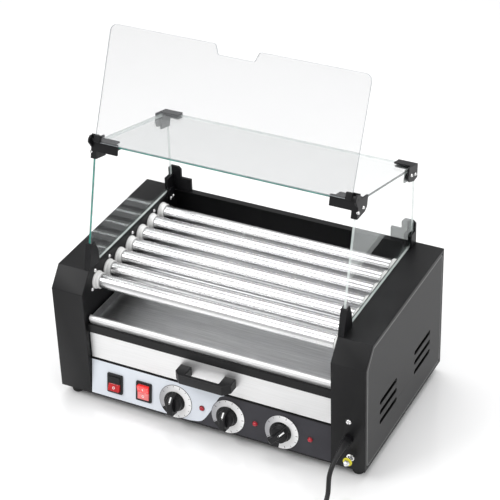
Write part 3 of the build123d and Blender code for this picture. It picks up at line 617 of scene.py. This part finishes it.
def grow(tree, name, seeds, values, body, stands_for=(), matrix=None):
    """Run a tree on seed points and keep its result as a plain mesh that rides a body.

    seeds is a list of (point, direction); the direction is stored for the tree to turn by."""
    seed_mesh = bpy.data.meshes.new(name + "_seeds")
    seed_mesh.from_pydata([point for point, _ in seeds], [], [])
    facing = seed_mesh.attributes.new("facing", "FLOAT_VECTOR", "POINT")
    for place, (_, direction) in enumerate(seeds):
        facing.data[place].vector = direction
    seed = add_object(name + "_seeds", seed_mesh)
    modifier = seed.modifiers.new("grow", "NODES")
    modifier.node_group = tree
    names = {item.name: item.identifier for item in tree.interface.items_tree
             if item.item_type == "SOCKET" and item.in_out == "INPUT"}
    for key, value in values.items():
        modifier[names[key]] = value
    bpy.context.view_layer.update()
    evaluated = seed.evaluated_get(bpy.context.evaluated_depsgraph_get())
    mesh = bpy.data.meshes.new_from_object(evaluated)
    bpy.data.objects.remove(seed)
    bm = bmesh.new()
    bm.from_mesh(mesh)
    if matrix:
        bm.transform(matrix)
    bpy.data.meshes.remove(mesh)
    return finish_mesh(bm, name, body, [values["Material"]], stands_for=stands_for)


def facing_turn(grower):
    """Rotation that turns +Z to the stored direction."""
    direction = grower.add("InputNamedAttribute", {"data_type": "FLOAT_VECTOR"},
                           Name="facing")
    return grower.add("FunctionNodeAlignRotationToVector", {"axis": "Z"}, Vector=direction)


def screw_tree():
    """Domed head with a cross recess on a short shank, one on every seed point."""
    g = Grower("cross_head_screw")
    head, rise, shank, length = (g.size(n) for n in ("Head", "Rise", "Shank", "Length"))
    dome = g.add("MeshUVSphere", Segments=28, Rings=14, Radius=1.0)
    dome = g.add("Transform", Geometry=dome, Scale=g.vector(head, head, rise * 1.6))
    keep_box = g.add("MeshCube", Size=g.vector(head * 2.4, head * 2.4, rise * 2))
    keep_box = g.add("Transform", Geometry=keep_box,
                     Translation=g.vector(0.0, 0.0, rise))
    slot_one = g.add("MeshCube", Size=g.vector(head * 1.15, head * 0.22, rise * 1.2))
    slot_two = g.add("MeshCube", Size=g.vector(head * 0.22, head * 1.15, rise * 1.2))
    cross = g.add("Transform", Geometry=g.join(slot_one, slot_two),
                  Translation=g.vector(0.0, 0.0, rise * 1.5))

    def cut(solid, tool, operation):
        made = g.tree.nodes.new("GeometryNodeMeshBoolean")
        made.operation = operation
        g.tree.links.new(solid.socket, made.inputs[0 if operation == "DIFFERENCE" else 1])
        g.tree.links.new(tool.socket, made.inputs[1])
        return Wire(g.tree, made.outputs[0])

    cap = cut(dome, keep_box, "INTERSECT")
    cap = cut(cap, cross, "DIFFERENCE")
    stem = g.add("MeshCylinder", Vertices=20, Radius=shank, Depth=length)
    stem = g.add("Transform", Geometry=stem,
                 Translation=g.vector(0.0, 0.0, length * -0.5))
    return g.end(g.place_on_seeds(g.join(cap, stem), facing_turn(g)))


def wall_seeds(side):
    """Screws of an inner wall and of the hood's rear tab, facing the rollers."""
    wall = ((32.5, 216.2), (45.6, 247.0), (93.4, 248.0), (173.1, 249.0), (250.6, 250.0))
    seeds = [(casing_point(side * 229.0, y, z), (-side, 0, 0)) for y, z in wall]
    tab = ((308.0, 246.0), (317.0, 246.0))
    return seeds + [(casing_point(side * 226.0, y, z), (-side, 0, 0)) for y, z in tab]


def bracket_seeds(side):
    """Screws in the outer cheeks of the hood's upper brackets."""
    rear = 245.9  # rear edge of the top glass
    places = ((-2.4, -16.0), (17.0, -12.0), (rear - 22, -10.0), (rear - 4, -12.0))
    return [(hood_frame @ Vector((side * 239.2 * MM, s * MM, n * MM)), (side, 0, 0))
            for s, n in places]


screw_sizes = {"Rise": 1.9 * MM, "Shank": 1.6 * MM, "Length": 2.6 * MM, "Material": bright_steel}
screws = screw_tree()
grow(screws, "wall_screws", wall_seeds(-1) + wall_seeds(1), {"Head": 3.4 * MM, **screw_sizes},
     "chassis", ("screws",))
grow(screws, "bracket_screws", bracket_seeds(-1) + bracket_seeds(1),
     {"Head": 3.0 * MM, **screw_sizes}, "chassis")
grow(screws, "tower_screw", [(casing_point(260.3, 0.0, 113.6), (0, -1, 0))],
     {"Head": 4.8 * MM, **screw_sizes}, "chassis")


# ---- rollers
def roller_tree():
    """Thin-walled tube with rolled ends, along +X through every seed point."""
    g = Grower("roller_tube")
    radius, wall, length = (g.size(n) for n in ("Radius", "Wall", "Length"))
    section = g.add("CurvePrimitiveQuadrilateral", Width=wall, Height=length)
    section = g.add("FilletCurve", {"mode": "POLY"}, Curve=section, Count=4,
                    Radius=wall * 0.48)
    circle = g.add("CurvePrimitiveCircle", Resolution=96, Radius=radius - wall * 0.5)
    tube = g.add("CurveToMesh", Curve=circle, Profile_Curve=section)
    return g.end(g.place_on_seeds(tube, facing_turn(g)))


roller_maker = roller_tree()
for number, (low, high) in enumerate(roller_boxes, 1):
    middle = (low + high) / 2
    grow(roller_maker, f"roller_{number}_steel", [(middle, (1, 0, 0))],
         {"Radius": (high.z - low.z) / 2, "Wall": 1.2 * MM, "Length": high.x - low.x,
          "Material": roller_steel}, f"roller_{number}",
         (f"roller_tube_{number}",))

bm = bmesh.new()
for low, high in roller_boxes:
    axis_y, axis_z = (low.y + high.y) / 2, (low.z + high.z) / 2
    for side in (-1, 1):
        place = turned_at((side * wall_x, axis_y, axis_z), -side * pi / 2, "Y")
        cap = [(6.1, 10.3), (6.6, 10.5), (13.6, 10.5), (14.3, 9.8), (14.4, 3.8), (14.8, 3.5),
               (15.4, 3.5), (16.0, 2.9), (16.0, 0.6), (15.6, 0.1), (6.1, 0.1), (6.1, 10.3)]
        add_lathe(bm, in_mm(cap), place, 56)
finish_mesh(bm, "bushing_caps", "chassis", [white_plastic], 32.0,
            ("roller_bushings",))


# ---- copies with soft edges
def soften(node, name, body, materials, width):
    """A copy of a CAD node with its loose triangles joined and its sharp edges rounded."""
    bm = bmesh.new()
    bm.from_mesh(nodes[node].data)
    bmesh.ops.remove_doubles(bm, verts=bm.verts, dist=2e-6)
    bmesh.ops.dissolve_limit(bm, angle_limit=radians(0.6), verts=bm.verts, edges=bm.edges)
    if width:
        sharp = [e for e in bm.edges if len(e.link_faces) == 2
                 and e.calc_face_angle(0.0) > radians(30)]
        bmesh.ops.bevel(bm, geom=sharp, offset=width, segments=2, affect="EDGES", profile=0.5,
                        clamp_overlap=True)
    for face in bm.faces:
        face.material_index = 0
    return finish_mesh(bm, name, body, materials, 28.0, (node,), turn_out=False)


for node, name, body, slot_name, material, width in (
        ("upper_brackets", "hood_corner_brackets", "chassis", "black_paint", clip_plastic, 0.5),
        ("lower_brackets", "hood_foot_brackets", "chassis", "black_paint", clip_plastic, 0.5),
        ("door_clips", "door_corner_clips", "flip_door", "black_paint", clip_plastic, 0.3),
        ("front_rail", "tray_rail", "chassis", "black_paint", black_coat, 0.35),
        ("drawer_handle", "drawer_pull", "warming_drawer", "black_plastic", black_plastic, 0.0)):
    soften(node, name, body, [material], width * MM)
for word in ("left", "right"):
    soften(f"{word}_side_cover", f"{word}_cover_sheet", "chassis", [cover_coat],
           0.45 * MM)
    soften(f"{word}_tower_shell", f"{word}_tower_sheet", "chassis", [black_coat],
           0.55 * MM)
soften("switch_housings", "switch_bezels", "chassis", [black_plastic], 0.0)
give(tray_steel, "drawer_box")
give(drawer_steel, "drawer_front")

# ---- drip tray
tray_low, tray_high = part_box("drip_tray")
tray_half, tray_sheet = tray_high.x, 1.0 * MM
wall_top = tray_low.z + 11.0 * MM
lip_back = tray_low.y + 8.4 * MM
to_profile = Matrix(((0, 0, 1, 0), (1, 0, 0, 0), (0, 1, 0, 0), (0, 0, 0, 1)))  # (y, z) along X
bm = bmesh.new()
floor_outline = rounded([(-tray_half, lip_back - 5 * MM), (tray_half, lip_back - 5 * MM),
                         (tray_half, tray_high.y), (-tray_half, tray_high.y)],
                        [0, 0, 6 * MM, 6 * MM])
add_slab(bm, floor_outline, tray_low.z, tray_low.z + tray_sheet, Matrix())
for side in (-1, 1):
    fold = [(tray_half, tray_low.z), (tray_half, wall_top), (tray_half - 1.6 * MM, wall_top),
            (tray_half - 1.6 * MM, wall_top - 1.2 * MM),
            (tray_half - 5.0 * MM, tray_low.z + tray_sheet), (tray_half - 5.0 * MM, tray_low.z)]
    stand = Matrix(((side, 0, 0, 0), (0, 0, 1, 0), (0, 1, 0, 0), (0, 0, 0, 1)))
    add_slab(bm, fold, lip_back - 4 * MM, tray_high.y - 0.2 * MM, stand, 0.35 * MM, 2)
back_fold = [(tray_high.y, tray_low.z), (tray_high.y, wall_top), (tray_high.y - 1.4 * MM, wall_top),
             (tray_high.y - 5 * MM, tray_low.z + tray_sheet), (tray_high.y - 5 * MM, tray_low.z)]
add_slab(bm, back_fold, -tray_half + 0.3 * MM, tray_half - 0.3 * MM, to_profile, 0.35 * MM, 2)
bead_radius = 5.2 * MM
bead_y, bead_z = tray_low.y + bead_radius + 0.2 * MM, tray_high.z - bead_radius
bead = [(bead_y + bead_radius * cos(a), bead_z + bead_radius * sin(a))
        for a in (radians(t) for t in range(-60, 211, 10))]
apron = ([(tray_low.y + 4.0 * MM, tray_low.z), (bead_y + bead_radius * 0.7, tray_low.z)] + bead)
add_slab(bm, apron, -tray_half + 0.1 * MM, tray_half - 0.1 * MM, to_profile, 1.2 * MM, 4,
         material=1, angle=50.0)
finish_mesh(bm, "drip_tray_sheet", "drip_tray", [tray_steel, drawer_steel], 30.0,
            ("drip_tray",))

# ---- glass hood
side_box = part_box("side_glasses")
glass_out, glass_thick = side_box[1].x, 4.0 * MM
glass_back = side_box[1].y
hood_length = (glass_back - (front_y + hood_front)) / cos(hood_tilt)
glass_low = side_box[0].z
under = 2.5 * MM  # from the top glass to the side glasses


def hood_yz(s, n):
    point = hood_frame @ Vector((0, s, n))
    return point.y, point.z


top_front = hood_yz(0, -under)
top_rear = hood_yz((glass_back - front_y - hood_front - under * sin(hood_tilt)) / cos(hood_tilt),
                   -under)
pane_outline = [(side_box[0].y, glass_low), top_front, (glass_back, top_rear[1]),
                (glass_back, glass_low)]
pane_rims = [hood_glass, pane_rim, rim_painted_highlight, rim_painted_shade]


def sort_rims(bm, choose):
    """Give every rim face a rim material by the way it faces: the glass's own colour, a painted
    highlight or painted shade.
    """
    bm.normal_update()
    for face in bm.faces:
        if face.material_index == 1:
            face.material_index = choose(face.normal)


for side, word in ((-1, "left"), (1, "right")):
    bm = bmesh.new()
    edges = sorted((side * glass_out, side * (glass_out - glass_thick)))
    add_slab(bm, rounded(pane_outline, 2.0 * MM, 3), edges[0], edges[1], to_profile,
             0.5 * MM, 2, rim=1)
    # front rims show the glass's own colour on the left pane; all other side-pane rims get the
    # painted highlight
    front_rim = 1 if side < 0 else 2
    sort_rims(bm, lambda normal: front_rim if normal.y < -0.6 and normal.z > -0.5 else 2)
    finish_mesh(bm, f"{word}_glass_pane", "chassis", pane_rims, 35.0,
                ("side_glasses",) if side < 0 else ())
bm = bmesh.new()
pane = [(-glass_out, 0), (glass_out, 0), (glass_out, hood_length), (-glass_out, hood_length)]
add_slab(bm, rounded(pane, 2.0 * MM, 3), -glass_thick / 2, glass_thick / 2, hood_frame, 0.5 * MM, 2,
         rim=1)
# top-pane rims facing +x get painted shade, front rims the glass's own colour, the rest the painted
# highlight
sort_rims(bm, lambda normal: 3 if normal.x > 0.5 else (1 if normal.y < -0.5 else 2))
finish_mesh(bm, "top_glass_pane", "chassis", pane_rims, 35.0, ("top_glass",))

# ---- flip-up door
door_half, door_reach, door_tail, door_thick = 229.5 * MM, 193.0 * MM, 3.0 * MM, 3.0 * MM
notch_top, notch_low, notch_deep = 38.5 * MM, 32.25 * MM, 16.5 * MM
door_outline = [(-door_half, -door_tail), (door_half, -door_tail), (door_half, door_reach),
                (notch_top, door_reach), (notch_low, door_reach - notch_deep),
                (-notch_low, door_reach - notch_deep), (-notch_top, door_reach),
                (-door_half, door_reach)]
corner_radii = [0, 0] + [14 * MM] + [5 * MM] * 4 + [14 * MM]
bm = bmesh.new()
add_slab(bm, rounded(door_outline, corner_radii, 8), -door_thick / 2, door_thick / 2, door_frame,
         0.4 * MM, 2, rim=1, angle=40.0)
finish_mesh(bm, "door_pane", "flip_door", [door_acrylic, door_rim], 35.0,
            ("front_door",))

# ---- control panel
panel_width, film_low, film_high, film_thick = 228.0 * MM, 2.4 * MM, 69.0 * MM, 0.2 * MM
boundary = in_mm([(30.0, 69.0), (20.8, 63.2), (13.6, 50.0), (4.9, 31.7), (-10.0, 9.7),
                  (-28.6, 3.6), (-47.4, 2.4)])  # where the two films meet


def smooth_line(points, steps=6):
    """Chosen points joined by a smooth curve."""
    result = []
    for n in range(len(points) - 1):
        p0, p1 = Vector(points[max(n - 1, 0)]), Vector(points[n])
        p2, p3 = Vector(points[n + 1]), Vector(points[min(n + 2, len(points) - 1)])
        for k in range(steps):
            t = k / steps
            result.append(0.5 * ((2 * p1) + (p2 - p0) * t + (2 * p0 - 5 * p1 + 4 * p2 - p3) * t ** 2
                                 + (3 * p1 - p0 - 3 * p2 + p3) * t ** 3))
    return [tuple(p) for p in result] + [tuple(points[-1])]


line_gap = 0.5 * MM
curve = smooth_line(boundary)
light_side = [(x - line_gap, v) for x, v in curve]
dark_side = [(x + line_gap, v) for x, v in curve]
for name, outline, material in (
        ("panel_film_light", light_side + [(-panel_width, film_low), (-panel_width, film_high)],
         light_film),
        ("panel_film_dark", [(panel_width, film_high), (panel_width, film_low)] + dark_side[::-1],
         dark_film)):
    bm = bmesh.new()
    add_slab(bm, outline, 0.0, film_thick, panel_frame)
    finish_mesh(bm, name, "chassis", [material])


def dial_marks(bm, place, radius, material):
    """Tick marks round a dial."""
    for tick in range(13):
        angle = radians(-60 + tick * 300 / 12)
        matrix = panel_at(place, control_up) @ Matrix.Rotation(-angle, 4, "Z")
        long = tick % 3 == 0
        add_block(bm, (-0.35 * MM, 0.35 * MM), (radius - (4.0 if long else 2.4) * MM, radius),
                  (1.0 * MM, 1.12 * MM), matrix, material=material)


for number, place in enumerate(knob_places, 1):
    bm = bmesh.new()
    disc = [(5.2, 0.25), (31.1, 0.25), (31.4, 0.5), (31.4, 0.7), (31.2, 0.92), (30.9, 0.94),
            (5.2, 0.94), (5.2, 0.25)]
    add_lathe(bm, in_mm(disc), panel_at(place, control_up), 96)
    sweep = list(range(-98, 217, 4))
    arc = [(30.7 * MM * cos(radians(t)), 30.7 * MM * sin(radians(t))) for t in sweep]
    for t in sweep[::-1]:
        inner = (17.8 + 6.2 * (max(0, t - 60) / 156) ** 1.4) * MM
        arc.append((inner * cos(radians(t)), inner * sin(radians(t))))
    add_slab(bm, arc, 0.94 * MM, 1.0 * MM, panel_at(place, control_up), material=1)
    dial_marks(bm, place, 29.6 * MM, 0)
    finish_mesh(bm, f"dial_{number}", "chassis", [black_print, dial_silver], 30.0,
                ("dial_plates",) if number == 1 else ())

for number, (place, turn) in enumerate(zip(knob_places, knob_turns), 1):
    bm = bmesh.new()
    where = panel_at(place, control_up) @ Matrix.Rotation(turn, 4, "Z")
    shape = [(0.0, 14.4), (11.0, 14.4), (13.8, 14.0), (14.6, 13.2), (15.0, 9.0), (15.3, 6.4),
             (16.0, 5.9), (16.5, 5.3), (16.5, 2.2), (16.2, 1.7), (0.0, 1.6)]
    add_lathe(bm, in_mm(shape), where, 72)
    side_on = where @ to_profile  # outlines as (up the grip, off the panel)
    grip = rounded(in_mm([(-19.8, 3.0), (-19.4, 20.0), (-15.0, 24.0), (8.0, 24.0), (17.0, 17.5),
                          (19.8, 3.0)]), [0, 3 * MM, 3 * MM, 4 * MM, 4 * MM, 0])
    add_slab(bm, grip, -4.8 * MM, 4.8 * MM, side_on, 1.1 * MM, 4)
    pointer = in_mm([(6.0, 23.4), (6.0, 24.05), (9.4, 23.5), (16.6, 18.35), (16.6, 17.2),
                     (9.0, 22.6)])
    add_slab(bm, pointer, -1.3 * MM, 1.3 * MM, side_on, material=1)
    name = ("left", "middle", "right")[number - 1]
    finish_mesh(bm, f"{name}_knob_shell", f"{name}_knob",
                [black_plastic, white_print], 40.0, (f"knob_{number}",))

# ---- rockers and lamps
rocker_half_width, rocker_fold = 11.0 * MM, atan(2.1 / 13.4)
for place, tilt, name in ((switch_places[0], -rocker_tilt, "left"),
                          (switch_places[1], rocker_tilt, "right")):
    number = 1 if name == "left" else 2
    where = panel_at(place, lamp_up, 0.5 * MM) @ Matrix.Rotation(tilt, 4, "X")
    turn = where @ to_profile
    bm = bmesh.new()
    lit = number == 2
    upper = [(0.0, 4.3), (13.4, 6.4), (13.0, -1.0), (5.0, -7.8), (0.0, -7.8)]
    lower = [(0.0, 4.3), (0.0, -7.8), (-5.0, -7.8), (-13.0, -1.0), (-13.4, 6.4)]
    # on the left rocker the upper half is black plastic: painted shade for the pressed-in half of
    # the red rocker
    for half, material in ((upper, 0 if lit else 3), (lower, 1 if lit else 0)):
        add_slab(bm, in_mm(half), -rocker_half_width, rocker_half_width, turn, 0.7 * MM, 3,
                 material=material)
    if lit:
        bar_at = where @ turned_at((0, 7.0 * MM, 5.5 * MM), rocker_fold, "X")
        add_block(bm, (-0.6 * MM, 0.6 * MM), (-2.4 * MM, 2.4 * MM), (-0.05 * MM, 0.12 * MM),
                  bar_at, material=2)
    ring_at = where @ turned_at((0, -7.0 * MM, 5.5 * MM), -rocker_fold, "X")
    ring = ring_profile(2.4 * MM, 1.5 * MM, -0.05 * MM, 0.12 * MM, 0.02 * MM)
    add_lathe(bm, ring, ring_at, 28, material=2)
    finish_mesh(bm, f"{name}_rocker_cap", f"{name}_rocker",
                [rocker_lit if lit else rocker_red_painted_glow, rocker_pale, white_print, black_plastic],
                40.0, (f"rocker_{number}",))

bm = bmesh.new()
for place in lamp_places:
    where = panel_at(place, lamp_up)
    collar = [(4.1, 0.0), (5.2, 0.2), (5.2, 0.9), (4.7, 1.5), (4.2, 1.6), (4.0, 0.8), (4.1, 0.0)]
    add_lathe(bm, in_mm(collar), where, 40)
    dome = [(4.05, 0.8)] + [(4.05 * cos(radians(a)), 1.4 + 4.0 * sin(radians(a)))
                           for a in range(0, 90, 9)] + [(0.0, 5.4)]
    add_lathe(bm, in_mm(dome), where, 40, material=1)
finish_mesh(bm, "heat_lamps", "chassis", [lamp_rim, lamp_red], 50.0,
            ("indicator_lamps",))

# ---- feet and earth terminal
feet_low, feet_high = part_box("feet")
bm = bmesh.new()
foot_radius = 11.5 * MM
for x in (feet_low.x + foot_radius, feet_high.x - foot_radius):
    for y in (feet_low.y + foot_radius, feet_high.y - foot_radius):
        shape = [(0.0, 0.0), (8.2, 0.0), (9.6, 0.5), (10.4, 2.2), (11.2, 12.0), (11.5, 17.6),
                 (11.3, 18.0), (0.0, 18.0)]
        add_lathe(bm, in_mm(shape), Matrix.Translation((x, y, 0)), 40)
finish_mesh(bm, "rubber_feet", "chassis", [foot_rubber], 40.0, ("feet",))

stud = casing_point(264.0, 0.0, 42.0)
outward = turned_at(stud, pi / 2, "X")  # +Z leaves the tower
bm = bmesh.new()
thread = [(0.0, 22.0), (2.3, 22.0), (2.9, 21.4)]
thread += [(2.95 - 0.35 * (k % 2), 21.0 - 0.5 * k) for k in range(6)] + [(2.8, 17.5)]
thread += [(2.8, -1.0), (0.0, -1.0)]
add_lathe(bm, in_mm(thread), outward, 32)
for low, high, size in ((0.0, 1.0, 7.0), (1.0, 5.0, 5.6), (8.0, 12.0, 5.6), (13.6, 17.5, 5.6)):
    sides = 32 if size > 6 else 6
    add_slab(bm, circle_points(size * MM, sides), low * MM, high * MM, outward, 0.3 * MM, 2)
add_lathe(bm, in_mm(ring_profile(8.0, 2.8, 12.1, 13.5, 0.3)), outward, 48, material=1)
finish_mesh(bm, "earth_stud", "chassis", [bright_steel, marker_yellow], 30.0,
            ("earth_terminal",))

# ---- cord boot and coil tie
guide = mains_cord.data.copy()
guide.bevel_depth = 0.0
guide_object = add_object("guide", guide)
bpy.context.view_layer.update()
line = bpy.data.meshes.new_from_object(
    guide_object.evaluated_get(bpy.context.evaluated_depsgraph_get()))
centre_line = [v.co.copy() for v in line.vertices]
bpy.data.objects.remove(guide_object)


def along_line(distance):
    """(point, direction) of the cord's centreline at a distance from its exit."""
    for here, after in zip(centre_line, centre_line[1:]):
        length = (after - here).length
        if distance <= length:
            share = distance / max(length, 1e-9)
            return here + (after - here) * share, (after - here).normalized()
        distance -= length
    return centre_line[-1], (centre_line[-1] - centre_line[-2]).normalized()


bm = bmesh.new()
boot_length, ribs, boot_steps, boot_sides = 30.0 * MM, 7, 45, 32
rings = []
for k in range(boot_steps + 1):
    share = k / boot_steps
    point, heading = along_line(share * boot_length)
    rib = 0.45 * MM * (0.5 + 0.5 * cos(2 * pi * ribs * share)) * (1 - share)
    radius = (6.4 - 2.1 * share) * MM + rib - (0.35 * MM if k in (0, boot_steps) else 0)
    turn = heading.to_track_quat("Z", "Y").to_matrix().to_4x4()
    place = Matrix.Translation(point) @ turn
    rings.append([bm.verts.new(place @ Vector((x, y, 0)))
                  for x, y in circle_points(radius, boot_sides)])
for low, high in zip(rings, rings[1:]):
    bridge(bm, low, high)
bm.faces.new(rings[0])
bm.faces.new(rings[-1])
cord_boot = finish_mesh(bm, "cord_boot", "chassis", [cord_rubber], 50.0)

# outline of the tie round the coil's bundle, as (radius in the coil, height) in millimetres
bundle = [(29.2, 1.6), (30.4, 0.1), (53.6, 0.1), (54.8, 1.6), (54.8, 15.0), (53.4, 17.0),
          (30.6, 17.0), (29.2, 15.0)]
bundle_radius, bundle_height = 42.0, 8.55  # middle of that outline
bundle_half, bundle_rise, tie_thick = 12.8, 8.5, 0.7
bm = bmesh.new()
tie_place = turned_at(casing_point(coil_x, coil_y, 0.0), radians(135), "Z")
loops = []
for along in (-3.0, 3.0):
    for shrink in (0.0, tie_thick):
        loops.append([bm.verts.new(tie_place @ Vector((
            (bundle_radius + (r - bundle_radius) * (1 - shrink / bundle_half)) * MM, along * MM,
            (bundle_height + (h - bundle_height) * (1 - shrink / bundle_rise)) * MM)))
            for r, h in bundle])
for first, second in ((0, 1), (1, 3), (3, 2), (2, 0)):
    bridge(bm, loops[first], loops[second])
coil_tie = finish_mesh(bm, "coil_tie", "chassis", [foot_rubber], 40.0)

# ---- vents
def louvre_tree():
    """Bowl like an inward-pressed louvre behind every seed point, closing the slot; its dark coat
    is painted shade for the slot's inside.
    """
    g = Grower("vent_louvre")
    long, tall, deep = (g.size(n) for n in ("Long", "Tall", "Deep"))
    ball = g.add("MeshUVSphere", Segments=40, Rings=12, Radius=1.0)
    bowl = g.add("Transform", Geometry=ball, Scale=g.vector(long, tall, deep))
    position = g.add("InputPosition")
    split = add_node(g.tree, "ShaderNodeSeparateXYZ", None, Vector=position)
    outside = ((Wire(g.tree, split.outputs["Z"]) > 0.0001)
               .high(Wire(g.tree, split.outputs["Y"]) > 0.001))
    bowl = g.add("DeleteGeometry", {"domain": "FACE"}, Geometry=bowl,
                 Selection=outside)
    return g.end(g.place_on_seeds(bowl, g.vector(pi / 2, 0.0, pi / 2)))


louvres = louvre_tree()
for side, word in ((-1, "left"), (1, "right")):
    seeds = [(casing_point(side * 288.6, start + 36.0, 79.0 + row * 20.0), (side, 0, 0))
             for start in (59.0, 208.0) for row in range(3)]
    mirror = Matrix.Diagonal((-1, 1, 1, 1)) if side < 0 else None
    if side < 0:
        seeds = [(Vector((-p.x, p.y, p.z)), d) for p, d in seeds]
    grow(louvres, f"{word}_vent_louvres", seeds,
         {"Long": 36.5 * MM, "Tall": 4.9 * MM, "Deep": 6.0 * MM, "Material": vent_shade_coat},
         "chassis", matrix=mirror)

# ---- floor and light
floor_paint = Paint("pale_floor", Roughness=0.10, Specular_IOR_Level=0.6)
floor_cloud = floor_paint.noise(0.8, 2.0)
floor_paint.set(Base_Color=floor_paint.mix(floor_cloud, (0.93, 0.93, 0.935), (0.95, 0.95, 0.95)))
reach = 9.0
floor_mesh = bpy.data.meshes.new("studio_floor")
floor_mesh.from_pydata([(-reach, -reach, -0.0005), (reach, -reach, -0.0005),
                        (reach, reach, -0.0005), (-reach, reach, -0.0005)], [], [(0, 1, 2, 3)])
studio_floor = add_object("studio_floor", floor_mesh)
floor_mesh.materials.append(floor_paint.material)

world = bpy.data.worlds.new("studio")
world.use_nodes = True
world.node_tree.nodes["Background"].inputs["Color"].default_value = (1.0, 1.0, 1.0, 1.0)
world.node_tree.nodes["Background"].inputs["Strength"].default_value = 0.62
scene.world = world


def softbox(name, place, target, size, power):
    """Large rectangular area light aimed at a point."""
    data = bpy.data.lights.new(name, "AREA")
    data.shape, data.size, data.size_y, data.energy = "RECTANGLE", size[0], size[1], power
    light = add_object(name, data)
    light.location = place
    aim = (Vector(target) - Vector(place)).to_track_quat("-Z", "Y")
    light.rotation_euler = aim.to_euler()


softbox("key_light", (-1.4, -1.6, 2.2), (0, 0, 0.2), (1.6, 1.2), 40)
softbox("fill_light", (1.9, -1.0, 1.5), (0, 0, 0.2), (1.4, 1.4), 10)
softbox("top_light", (0.1, 0.6, 2.6), (0, 0, 0.2), (2.6, 1.6), 44)
